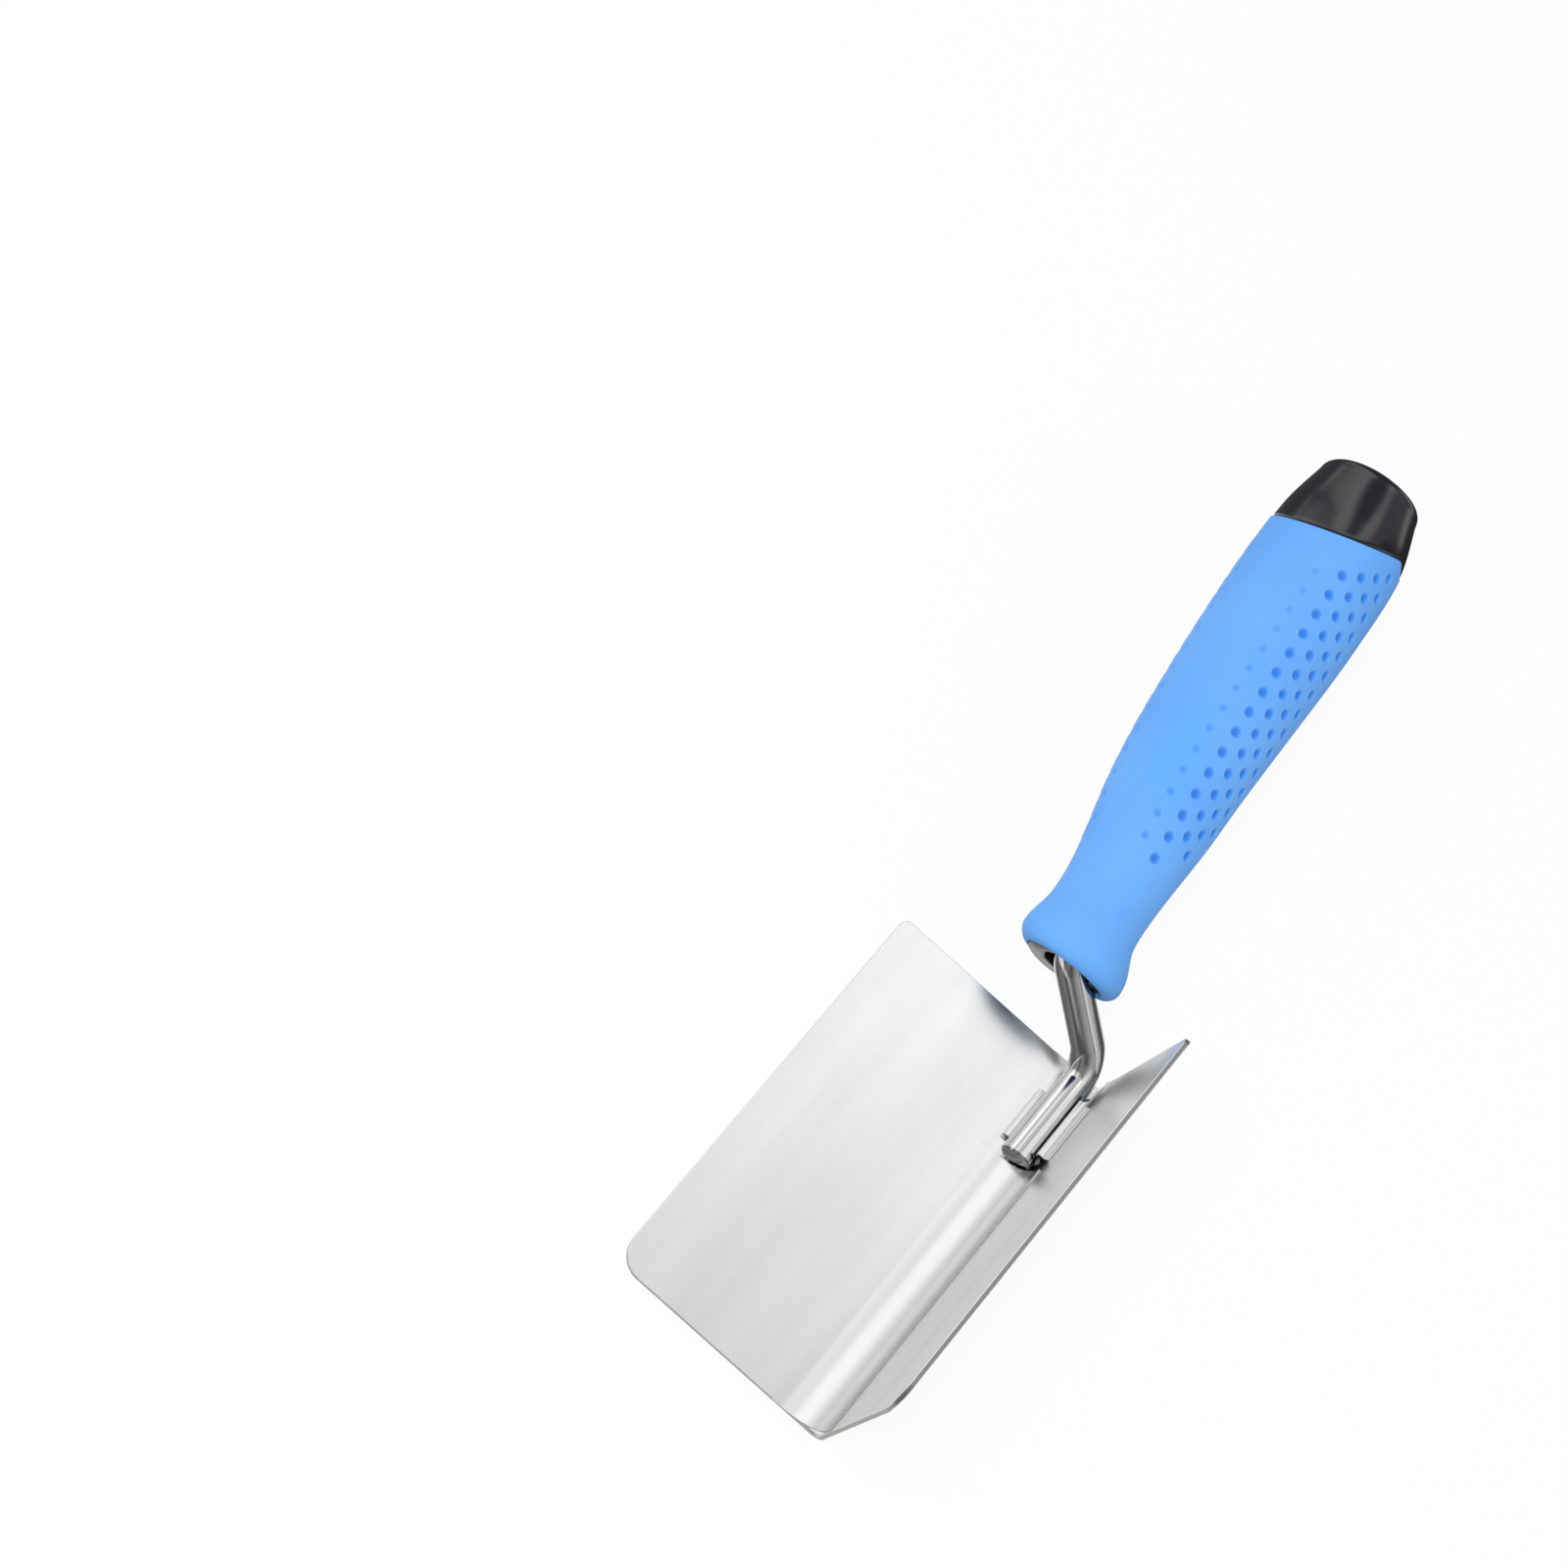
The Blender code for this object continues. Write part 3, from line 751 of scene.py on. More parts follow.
@dataclass
class Rod:
    """The bent round bar: a lap in the fold, a riser and a tang in the handle."""

    frame: ToolFrame
    height: float
    diameter: float = 8.0
    lap: float = 27.9
    overhang: float = 1.4
    riser: float = 33.4
    riser_angle: float = math.radians(77.0)
    bend: float = 8.5
    tang: float = 78.0
    handle_tilt: float = math.radians(9.4)
    chamfer: float = 0.35
    bend_steps: int = 28
    sides: int = 72
    path: list[Vector] = field(default_factory=list)

    def __post_init__(self) -> None:
        """Lay out the centre line."""
        self.path = self.centre_line()

    @property
    def radius(self) -> float:
        """Radius of the bar."""
        return self.diameter / 2

    @property
    def front(self) -> float:
        """Depth of the front end along the fold."""
        return self.frame.blade_length - self.lap

    @property
    def axis(self) -> Vector:
        """Direction of the tang and the handle."""
        return Vector((0.0, math.cos(self.handle_tilt), math.sin(self.handle_tilt)))

    @property
    def axis_up(self) -> Vector:
        """Direction across the handle, away from the blade."""
        return Vector((0.0, -math.sin(self.handle_tilt), math.cos(self.handle_tilt)))

    @property
    def corners(self) -> list[Vector]:
        """Front end, lower bend, mouth of the handle and end of the tang, before the bends are rounded.

        Returns:
            The four corners in order.
        """
        lower = Vector((0.0, self.frame.blade_length + self.overhang, self.height))
        mouth = lower + Vector((0.0, math.cos(self.riser_angle), math.sin(self.riser_angle))) * self.riser
        return [Vector((0.0, self.front, self.height)), lower, mouth, mouth + self.axis * self.tang]

    @property
    def mouth(self) -> Vector:
        """Corner at which the riser meets the handle's axis."""
        return self.corners[2]

    def centre_line(self) -> list[Vector]:
        """Points along the bar's middle, with round bends.

        Returns:
            The points from the front end to the end of the tang.
        """
        corners = self.corners
        path = [corners[0]]
        for before, corner, after in zip(corners, corners[1:], corners[2:]):
            inward = (before - corner).normalized()
            outward = (after - corner).normalized()
            half_opening = inward.angle(outward) / 2
            reach = self.bend / math.tan(half_opening)
            centre = corner + (inward + outward).normalized() * (self.bend / math.sin(half_opening))
            spoke = corner + inward * reach - centre
            turn = math.pi - 2 * half_opening
            hinge = spoke.cross(corner + outward * reach - centre).normalized()
            for step in range(self.bend_steps + 1):
                path.append(centre + Matrix.Rotation(turn * step / self.bend_steps, 3, hinge) @ spoke)
        path.append(corners[-1])
        return path

    def ring(self, index: int, radius: float, shift: float = 0.0) -> Station:
        """Ring round the bar at one point of its path.

        Args:
            index: which point of the path.
            radius: the ring's radius.
            shift: how far the ring lies past that point.

        Returns:
            The ring as a station.
        """
        before = self.path[max(index - 1, 0)]
        after = self.path[min(index + 1, len(self.path) - 1)]
        along = (after - before).normalized()
        up = Vector((1.0, 0.0, 0.0)).cross(along)
        centre = self.path[index] + along * shift

        def at(share: float) -> Vector:
            """Point of the ring at a share of its round."""
            angle = 2 * math.pi * share
            return centre + up * (radius * math.sin(angle)) + Vector((radius * math.cos(angle), 0.0, 0.0))

        return at

    def nearest(self, point: Vector) -> Vector:
        """Point of the centre line that lies nearest a place.

        Args:
            point: the place.

        Returns:
            The nearest point, which may lie between two points of the path.
        """
        best = self.path[0]
        for start, end in zip(self.path, self.path[1:]):
            run = end - start
            share = min(max((point - start).dot(run) / run.length_squared, 0.0), 1.0)
            spot = start + run * share
            if (point - spot).length_squared < (point - best).length_squared:
                best = spot
        return best

    def cleared(self, point: Vector, room: float) -> Vector:
        """Move a point out of the bar and the room round it.

        Args:
            point: the point to move.
            room: width of the room round the bar.

        Returns:
            The point itself where it is clear, or else the nearest clear one.
        """
        spot = self.nearest(point)
        away = point - spot
        wanted = self.radius + room
        if away.length >= wanted:
            return point
        return spot + away.normalized() * wanted

    def build(self, finish: bpy.types.Material) -> bpy.types.Object:
        """Make the bar, with chamfered ends, and dress it.

        Args:
            finish: the material that it wears.

        Returns:
            The bar's object.
        """
        last = len(self.path) - 1
        stations = [self.ring(0, self.radius - self.chamfer), self.ring(0, self.radius, self.chamfer)]
        stations += [self.ring(index, self.radius) for index in range(1, last)]
        stations += [self.ring(last, self.radius, -self.chamfer), self.ring(last, self.radius - self.chamfer)]
        shape = skin(stations, even_turns(self.sides))
        self.frame.place_all(shape)
        return Piece("bent_rod", "shank", "polished_rod").make(shape, finish)


@dataclass
class FoldFittings:
    """What lies in the fold: the liner that rounds it out and the saddle under the rod."""

    frame: ToolFrame
    blade: Blade
    gap: float = 0.3
    liner_sheet: float = 0.55
    liner_radius: float = 10.0
    left_flange: float = 2.5
    right_flange: float = 1.5
    flange_marks: tuple[float, ...] = (1.0, 0.7, 0.4, 0.15)
    edge_round: float = 0.12
    closeness: float = 0.03
    # Painted shade: share of the dull edge tone laid on liner faces that turn towards the right crease.
    crease_shade: float = 0.14
    extra_rough: float = 0.08
    level_span: Pair = (0.40, 0.98)
    upright_span: Pair = (0.55, 0.98)
    crease_shade_span: Pair = (0.75, 1.0)
    end_from: float = 0.9
    end_depth: float = 0.1
    front_ring: float = 0.25
    back_ring: float = 4.0
    relief: float = 0.2
    fill_span: Pair = (0.35, 2.4)
    bow: float = 0.3
    flank_from: float = 4.95
    saddle_sheet: float = 0.9
    pressed_sheet: float = 0.7
    saddle_length: float = 18.0
    setback: float = 2.7
    arm: float = 0.2
    hollow: float = 0.3
    pressed_hollow: float = 0.5
    short_front: float = 1.2
    short_back: float = 3.0
    short_blend: float = 1.0
    notch: float = 1.6
    notch_lift: Pair = (0.2, 1.1)
    end_ring: float = 0.2
    lip_turn: float = math.radians(215.0)
    seam_angle: float = math.radians(35.0)
    seam_reach: float = 1.7
    seam_inset: float = 0.25
    steps: int = 20
    curve_steps: int = 60

    def rod_height(self, rod_radius: float) -> float:
        """Height of the rod's middle over the outside of the fold, with the saddle on both wings.

        Args:
            rod_radius: the rod's radius.

        Returns:
            The height in millimetres.
        """
        turn = self.frame.half_fold
        trough = rod_radius + self.gap + self.saddle_sheet / 2
        lip = self.hollow + self.saddle_sheet / 2
        on_trough = (trough + self.saddle_sheet / 2 + self.gap) / math.sin(turn)
        lip_reach = (lip + self.saddle_sheet / 2 + self.gap) / math.sin(turn)
        lip_offset = (trough + lip) / math.tan(turn)
        return self.blade.wing_seat + max(on_trough, lip_reach + lip_offset - self.arm)

    def liner_top(self, feathered: bool) -> list[Vector]:
        """Top of the liner as distances along the two wings.

        Args:
            feathered: whether it runs out on the right wing as on the left one, without an edge.

        Returns:
            The points from the left wing to the right one.
        """
        low = 2 * self.closeness
        side = low if feathered else self.liner_sheet + self.closeness
        radius = self.liner_radius
        top = [Vector((radius + side + self.left_flange * share, low)) for share in self.flange_marks]
        for step in range(self.curve_steps + 1):
            angle = RIGHT_ANGLE * step / self.curve_steps
            top.append(Vector((side + radius * (1 - math.sin(angle)), low + radius * (1 - math.cos(angle)))))
        end = low + radius + self.right_flange
        top.append(Vector((side, end - self.edge_round)))
        top.append(Vector((side if feathered else side - self.edge_round, end)))
        return top

    def liner_section(self, low: float, high: float, feathered: bool = False) -> list[Vector]:
        """Closed outline of the part of the liner between two distances to the right of the fold.

        Args:
            low: where the part starts.
            high: where it ends.
            feathered: whether it runs out on the right wing without an edge.

        Returns:
            The outline as (x, z) points, with its first point repeated at the end.
        """
        top = self.liner_top(feathered)
        last = len(top) - 1
        upper = []
        under = []
        for index, point in enumerate(top):
            along = (top[min(index + 1, last)] - top[max(index - 1, 0)]).normalized()
            inside = point - Vector((along.y, -along.x)) * self.liner_sheet
            inside = Vector((max(inside.x, self.closeness), max(inside.y, self.closeness)))
            spot = self.blade.on_wings(point.x, point.y)
            if low <= spot.x <= high:
                upper.append(spot)
                under.append(self.blade.on_wings(inside.x, inside.y))
        return closed(upper + under[::-1])

    def build_liner(self, rod: Rod, finish: bpy.types.Material) -> bpy.types.Object:
        """Make the liner, hollowed round the end of the rod, with a flank on each side of it.

        Args:
            rod: the bar whose end it is hollowed round.
            finish: the material that it wears.

        Returns:
            The liner's object.
        """
        reach = self.frame.wing_width
        back = rod.front - self.relief
        outline = self.liner_section(-reach, reach)

        def hollowed(index: int) -> float:
            """Depth of the back end, drawn in round the rod."""
            return back - self.bow * max(0.0, 1 - (outline[index].x / rod.radius) ** 2)

        stations = straight_run(outline, (0.0, self.front_ring, back - self.back_ring))
        stations.append(outline_station(outline, hollowed))
        shape = sheet_bar(outline, stations)
        for low, high in ((-reach, -self.flank_from), (self.flank_from, reach)):
            flank = self.liner_section(low, high, feathered=low > 0)
            run = straight_run(flank, (back + self.closeness, self.frame.blade_length))
            self.join(shape, sheet_bar(flank, run))
        self.join(shape, self.end_fill())
        self.mark_edge(shape)
        self.frame.place_all(shape)
        return Piece("fold_liner", "corner_liner", "satin_stainless", sharp_from=40.0).make(shape, finish)

    @staticmethod
    def join(shape: bmesh.types.BMesh, part: bmesh.types.BMesh) -> None:
        """Add a part to a shape and free it.

        Args:
            shape: the shape that grows.
            part: the part to add, which is freed.
        """
        carrier = bpy.data.meshes.new("joined_part")
        part.to_mesh(carrier)
        part.free()
        shape.from_mesh(carrier)
        bpy.data.meshes.remove(carrier)

    def end_fill(self) -> bmesh.types.BMesh:
        """Fill of the hollow under the liner, just inside its front end.

        Returns:
            The fill.
        """
        start = self.liner_radius + self.closeness
        outline = []
        for radius, centre in ((self.liner_radius + self.liner_sheet, start + self.liner_sheet),
                               (self.blade.fold_inside, self.blade.fold_inside + self.closeness)):
            run = []
            for step in range(self.steps + 1):
                angle = RIGHT_ANGLE * step / self.steps
                left = max(centre - radius * math.sin(angle), self.closeness)
                right = max(centre - radius * math.cos(angle), self.closeness)
                run.append(self.blade.on_wings(left, right))
            outline += run[::-1] if outline else run
        outline = closed(outline)
        return sheet_bar(outline, straight_run(outline, self.fill_span))

    def mark_edge(self, shape: bmesh.types.BMesh) -> None:
        """Dull the liner's cut edges, paint shade on its faces towards the right crease, and lean and roughen
        its faces as the wings that they run out on.

        Args:
            shape: the liner's shape, before it is placed.
        """
        layer = shape.faces.layers.float.new("dull_edge_and_crease_shade")
        lean = shape.faces.layers.float_vector.new("lean")
        softened = shape.faces.layers.float.new("softened")
        slope = math.cos(self.frame.half_fold)
        edge = self.liner_radius + self.right_flange - self.edge_round
        left_lean = Vector(self.blade.left_lean)
        right_lean = Vector(self.blade.right_lean)
        for face in shape.faces:
            along_left = smooth_step(*self.level_span, (face.normal.x + face.normal.z) * slope)
            steep = (face.normal.z - face.normal.x) * slope
            along_right = smooth_step(*self.upright_span, steep)
            face[lean] = left_lean * along_left + right_lean * along_right
            face[softened] = self.extra_rough * (1 - along_left)
            middle = face.calc_center_median()
            on_edge = (middle.z - self.blade.wing_seat + middle.x) / 2 / slope > edge
            on_end = abs(face.normal.y) > self.end_from and middle.y < self.end_depth
            # Cut edges are dull; faces that turn towards the right wing get painted crease shade.
            face[layer] = 1.0 if on_edge or on_end else self.crease_shade * smooth_step(*self.crease_shade_span, steep)

    def saddle_section(self, rod: Rod) -> list[Vector]:
        """Outline of the saddle: left lip, trough and right lip.

        Args:
            rod: the bar that the saddle carries.

        Returns:
            The outline as (x, z) points, with its first point repeated at the end.
        """
        trough_radius = rod.radius + self.gap + self.pressed_sheet / 2
        lip_radius = self.pressed_hollow + self.pressed_sheet / 2
        lip_centre = (trough_radius + lip_radius, rod.height + self.arm)
        right = arc(lip_centre, lip_radius, math.pi, -self.lip_turn, self.steps)
        trough = arc((0.0, rod.height), trough_radius, math.pi, math.pi, 2 * self.steps)
        left = [Vector((-point.x, point.y)) for point in reversed(right)]
        return sheet_section(left + trough + right, self.pressed_sheet)

    def build_saddle(self, rod: Rod, finish: bpy.types.Material) -> bpy.types.Object:
        """Make the saddle, with a shorter left lip and a notched back end, and dress it.

        Args:
            rod: the bar that it carries.
            finish: the material that it wears.

        Returns:
            The saddle's object.
        """
        outline = self.saddle_section(rod)
        front = rod.front + self.setback
        back = front + self.saddle_length
        inside = rod.radius + self.gap

        def ended(near: bool, inset: float) -> Callable[[int], float]:
            """Depth of each point of an end, or of a ring a little inside it.

            Args:
                near: whether it is the front end.
                inset: how far inside that end the ring lies.

            Returns:
                A function from a point's number to its depth.
            """

            def at(index: int) -> float:
                """Depth of one point of the outline.

                Args:
                    index: the point's number.

                Returns:
                    Its depth along the fold.
                """
                point = outline[index]
                left = smooth_step(self.short_blend - inside, -inside, point.x)
                if near:
                    return front + inset + self.short_front * left
                right = smooth_step(inside - self.short_blend, inside, point.x)
                raised = smooth_step(*self.notch_lift, point.y - rod.height - self.arm)
                return back - inset - self.short_back * left - self.notch * raised * right

            return at

        ends = ((True, 0.0), (True, self.end_ring), (False, self.end_ring), (False, 0.0))
        stations = [outline_station(outline, ended(near, inset)) for near, inset in ends]
        shape = sheet_bar(outline, stations)
        self.join(shape, self.seam(rod, front + self.seam_inset, back - self.notch - self.seam_inset))
        self.frame.place_all(shape)
        return Piece("rod_saddle", "shank_saddle", "pressed_steel").make(shape, finish)

    def seam(self, rod: Rod, start: float, stop: float) -> bmesh.types.BMesh:
        """Hollow bead between the right lip and the wing that it is welded to.

        Args:
            rod: the bar that the saddle carries.
            start: depth of the bead's front end.
            stop: depth of its back end.

        Returns:
            The bead.
        """
        lip_radius = self.pressed_hollow + self.pressed_sheet
        across = rod.radius + self.gap + lip_radius
        lift = rod.height + self.arm - self.blade.wing_seat
        turn = self.frame.half_fold
        off_wing = lift * math.cos(turn) - across * math.sin(turn)
        up_wing = lift * math.cos(turn) + across * math.sin(turn)
        reach = lip_radius - self.closeness
        aside = reach * math.cos(self.seam_angle)
        lip = Vector((off_wing - aside, up_wing + reach * math.sin(self.seam_angle)))
        toe = Vector((self.closeness, up_wing + self.seam_reach))
        root = Vector((off_wing - reach, lip.y))
        run = []
        for step in range(self.steps + 1):
            share = step / self.steps
            run.append(lip * (1 - share) ** 2 + root * (2 * share * (1 - share)) + toe * share ** 2)
        run += [Vector((self.closeness, up_wing)), Vector((off_wing - reach, up_wing))]
        outline = closed([self.blade.on_wings(point.x, point.y) for point in run])
        return sheet_bar(outline, straight_run(outline, (start, stop)))


@dataclass
class Handle:
    """Core, soft grip and butt cap. Distances run along the handle's axis from the collar's widest ring."""

    frame: ToolFrame
    rod: Rod
    collar: float = 26.8
    collar_length: float = 8.0
    neck: float = 22.2
    neck_length: float = 9.0
    collar_share: float = 0.12
    swell_marks: tuple[Pair, ...] = ((0.33, 0.52), (0.7, 0.86))
    belly: float = 33.6
    belly_at: float = 97.0
    parting: float = 32.2
    parting_at: float = 116.8
    parting_slant: float = math.radians(21.0)
    butt: float = 25.8
    butt_at: float = 128.9
    butt_fillet: float = 2.6
    lip_depth: float = 3.7
    lip_lean_up: float = 0.03
    lip_lean_right: float = 0.12
    collar_drop: float = 2.8
    neck_drop: float = 1.4
    arch_rise: float = 1.0
    belly_drop: float = 0.8
    flange: float = 20.0
    flange_length: float = 4.0
    flange_round: float = 0.3
    flange_mark: Pair = (0.4, 0.15)
    face_at: float = -3.13
    core: float = 16.0
    core_shoulder: float = 2.0
    core_tail: float = 7.5
    pocket: float = 11.5
    pocket_depth: float = 3.0
    pocket_round: float = 0.3
    gap: float = 0.3
    step: float = 0.25
    parting_gap: float = 0.12
    tongue: float = 3.5
    tongue_span: Pair = (-0.12, -0.45)
    grip_edge: float = 0.6
    cap_edge: float = 0.4
    sides: int = 96
    lip_steps: int = 16
    collar_steps: int = 18
    neck_steps: int = 18
    dimple_steps: int = 300
    belly_steps: int = 16
    grip_edge_steps: int = 5
    cap_edge_steps: int = 3
    cap_steps: int = 24
    fillet_steps: int = 8
    settle_rounds: int = 4

    @property
    def neck_at(self) -> float:
        """Place of the narrowest ring."""
        return self.collar_length + self.neck_length / 2

    def __post_init__(self) -> None:
        """Lay out the outline and the middle line."""
        run = self.belly_at - self.neck_at
        swell = self.belly - self.neck
        self.outline = [
            (0.0, self.collar),
            (self.collar_length, self.neck + (self.collar - self.neck) * self.collar_share),
            (self.neck_at, self.neck),
            *((self.neck_at + run * place, self.neck + swell * share) for place, share in self.swell_marks),
            (self.belly_at, self.belly),
            (self.parting_at, self.parting),
            (self.butt_at, self.butt),
            (2 * self.butt_at - self.parting_at, 2 * self.butt - self.parting),
        ]
        self.middle_line = [
            (-self.lip_depth, -self.collar_drop),
            (self.collar_length, -self.neck_drop),
            (self.neck_at, -self.neck_drop),
            ((self.neck_at + self.belly_at) / 2, self.arch_rise),
            (self.belly_at, -self.belly_drop / 4),
            (self.parting_at, -self.belly_drop),
            (self.butt_at + self.butt_fillet, -self.belly_drop / 4),
        ]

    def radius(self, along: float) -> float:
        """Outside radius at a place."""
        return hermite(self.outline, along) / 2

    def point(self, along: float, radius: float, angle: float) -> Vector:
        """Point at an angle round the handle's middle line.

        Args:
            along: place along the handle.
            radius: distance from its middle line.
            angle: angle round that line, from the right.

        Returns:
            The point on the tool's own axes.
        """
        lift = hermite(self.middle_line, along) + radius * math.sin(angle)
        aside = Vector((radius * math.cos(angle), 0.0, 0.0))
        return self.rod.mouth + self.rod.axis * along + self.rod.axis_up * lift + aside

    def near_parting(self, along: float) -> float:
        """1 at the parting line, falling to 0 at the belly and at the butt.

        Args:
            along: place along the handle.

        Returns:
            The share.
        """
        before = along < self.parting_at
        reach = self.parting_at - self.belly_at if before else self.butt_at - self.parting_at
        return max(0.0, 1 - abs(along - self.parting_at) / reach)

    def slant(self, along: float) -> float:
        """Lean of the rings: forward under the collar, back under the parting line.

        Args:
            along: place along the handle.

        Returns:
            The lean for each unit of a ring's radius.
        """
        if along < self.collar_length:
            return self.lip_lean_up * min(1.0, 1 - along / self.collar_length)
        return math.tan(self.parting_slant) * self.near_parting(along)

    def sway(self, along: float) -> float:
        """Lean of the collar's rings to the right."""
        return self.lip_lean_right * min(1.0, max(0.0, 1 - along / self.collar_length))

    def lean(self, along: float, angle: float) -> float:
        """How far a ring's point leans towards the collar, for each unit of its radius."""
        return math.sin(angle) * self.slant(along) + math.cos(angle) * self.sway(along)

    def dip(self, along: float, angle: float) -> float:
        """How far the parting line is drawn towards the collar on the underside."""
        return self.tongue * self.near_parting(along) * smooth_step(*self.tongue_span, math.sin(angle))

    def place(self, along: float, angle: float) -> float:
        """Own place of a leaning ring's point.

        Args:
            along: place of the ring.
            angle: angle of the point round it.

        Returns:
            Where that point lies along the handle.
        """
        place = along
        for _ in range(self.settle_rounds):
            place = along - self.radius(place) * self.lean(along, angle)
        return place - self.dip(along, angle)

    def ring(self, along: float, radius: float, leaning: bool = False, clear: bool = False) -> Station:
        """Round ring of a given radius.

        Args:
            along: place of the ring.
            radius: its radius.
            leaning: whether it leans as the outside does there.
            clear: whether its points stay clear of the rod.

        Returns:
            The ring as a station.
        """

        def at(share: float) -> Vector:
            """Point of the ring at a share of its round.

            Args:
                share: share of the round, from 0 to 1.

            Returns:
                The point on the tool's own axes.
            """
            angle = 2 * math.pi * share
            place = along
            if leaning:
                place = along - radius * self.lean(along, angle) - self.dip(along, angle)
            point = self.point(place, radius, angle)
            return self.rod.cleared(point, self.gap) if clear else point

        return at

    def outside(self, along: float, sink: float = 0.0, dimples: "Dimples | None" = None,
                clear: bool = False) -> Station:
        """Leaning ring on the outside.

        Args:
            along: place of the ring.
            sink: how far it lies under the outline.
            dimples: hollows to press into it.
            clear: whether its points stay clear of the rod.

        Returns:
            The ring as a station.
        """

        def at(share: float) -> Vector:
            """Point of the ring at a share of its round.

            Args:
                share: share of the round, from 0 to 1.

            Returns:
                The point on the tool's own axes.
            """
            angle = 2 * math.pi * share
            place = self.place(along, angle)
            depth = sink + (dimples.depth(place, angle) if dimples else 0.0)
            point = self.point(place, self.radius(place) - depth, angle)
            return self.rod.cleared(point, self.gap) if clear else point

        return at

    def core_profile(self) -> list[Pair]:
        """(along, radius) pairs of the core's outside.

        Returns:
            The pairs from the front face to the tail.
        """
        face = self.face_at
        flange_end = face + self.flange_length
        body = self.core / 2
        rim = self.flange / 2
        place, drop = self.flange_mark
        return [
            (face, rim - self.flange_round),
            (face + self.flange_round * place, rim - self.flange_round * drop),
            (face + self.flange_round, rim),
            (flange_end, rim),
            (flange_end + self.core_shoulder, body),
            (self.neck_at, body),
            ((self.neck_at + self.belly_at) / 2, body),
            (self.belly_at, body),
            (self.parting_at, body),
            (self.parting_at + self.core_tail, body),
        ]

    def build_core(self, finish: bpy.types.Material) -> bpy.types.Object:
        """Make the core, with its pocket and its bore round the rod, and dress it.

        Args:
            finish: the material that it wears.

        Returns:
            The core's object.
        """
        rod = self.rod
        bore = rod.radius + self.gap
        face = self.face_at
        last = len(rod.path) - 1
        stations = [rod.ring(last, 0.0, self.gap), rod.ring(last, bore, self.gap)]
        for index in range(last - 1, last - rod.bend_steps, -1):
            ring = rod.ring(index, bore)
            foremost = min((ring(share) - rod.mouth).dot(rod.axis) for share in (0.25, 0.75))
            if foremost > face + self.pocket_depth + self.gap:
                stations.append(ring)
        wall = self.pocket / 2
        floor = face + self.pocket_depth
        edge = self.pocket_round
        pocket = [(floor, wall - edge), (floor - edge, wall), (face + edge, wall), (face, wall + edge)]
        stations += [self.ring(along, radius, clear=True) for along, radius in pocket]
        stations += [self.ring(along, radius) for along, radius in self.core_profile()]
        stations.append(self.ring(self.parting_at + self.core_tail, 0.0))
        shape = skin(stations, even_turns(self.sides))
        self.frame.place_all(shape)
        return Piece("black_core", "handle_core", "hard_black_plastic").make(shape, finish)

    def grip_stations(self, dimples: "Dimples") -> list[Station]:
        """Sections of the grip: rolled lip, outside, parting edge and bore back to the lip.

        Args:
            dimples: the hollows to press into its outside.

        Returns:
            The sections in order.
        """
        edge = self.flange / 2 + self.gap
        width = self.collar / 2 - edge
        stations = []
        for index in range(self.lip_steps):
            angle = RIGHT_ANGLE * index / self.lip_steps
            along = -self.lip_depth * math.cos(angle)
            stations.append(self.ring(along, edge + width * math.sin(angle), leaning=True, clear=True))
        end = self.parting_at - self.parting_gap / 2
        edge_from = end - self.grip_edge
        spans = (
            (0.0, self.collar_length, self.collar_steps),
            (self.collar_length, dimples.low, self.neck_steps),
            (dimples.low, dimples.high, self.dimple_steps),
            (dimples.high, edge_from, self.belly_steps),
        )
        for start, stop, count in spans:
            for index in range(count):
                along = start + (stop - start) * index / count
                stations.append(self.outside(along, dimples=dimples, clear=along < self.collar_length))
        for index in range(self.grip_edge_steps + 1):
            angle = RIGHT_ANGLE * index / self.grip_edge_steps
            sink = self.grip_edge * (1 - math.cos(angle))
            stations.append(self.outside(edge_from + self.grip_edge * math.sin(angle), sink))
        bore = [pair for pair in self.core_profile() if self.face_at / 2 < pair[0] < end]
        stations.append(self.ring(end, self.core / 2 + self.gap, leaning=True))
        stations += [self.ring(along, radius + self.gap) for along, radius in reversed(bore)]
        stations.append(self.ring(-self.lip_depth, edge, leaning=True, clear=True))
        return stations

    def build_grip(self, dimples: "Dimples", finish: bpy.types.Material) -> bpy.types.Object:
        """Make the grip, press its dimples and dress it.

        Args:
            dimples: the hollows to press into its outside.
            finish: the material that it wears.

        Returns:
            The grip's object.
        """
        shape = skin(self.grip_stations(dimples), dimples.turns())
        self.mark_dimples(shape, dimples)
        self.frame.place_all(shape)
        return Piece("blue_grip", "soft_grip", "soft_blue_rubber", sharp_from=60.0).make(shape, finish)

    def mark_dimples(self, shape: bmesh.types.BMesh, dimples: "Dimples") -> None:
        """Write how deep each point lies in a dimple to the shape's dimple layer, which the rubber's finish
        turns into painted shade.

        Args:
            shape: the grip's shape, before it is placed.
            dimples: the hollows pressed into it.
        """
        layer = shape.verts.layers.float.new("dimple")
        rod = self.rod
        for vert in shape.verts:
            away = vert.co - rod.mouth
            along = away.dot(rod.axis)
            if not dimples.low < along < dimples.high:
                continue
            lift = away.dot(rod.axis_up) - hermite(self.middle_line, along)
            if math.hypot(away.x, lift) > self.radius(along) - dimples.search_depth:
                vert[layer] = max(0.0, dimples.depth(along, math.atan2(lift, away.x)) / dimples.deepest)

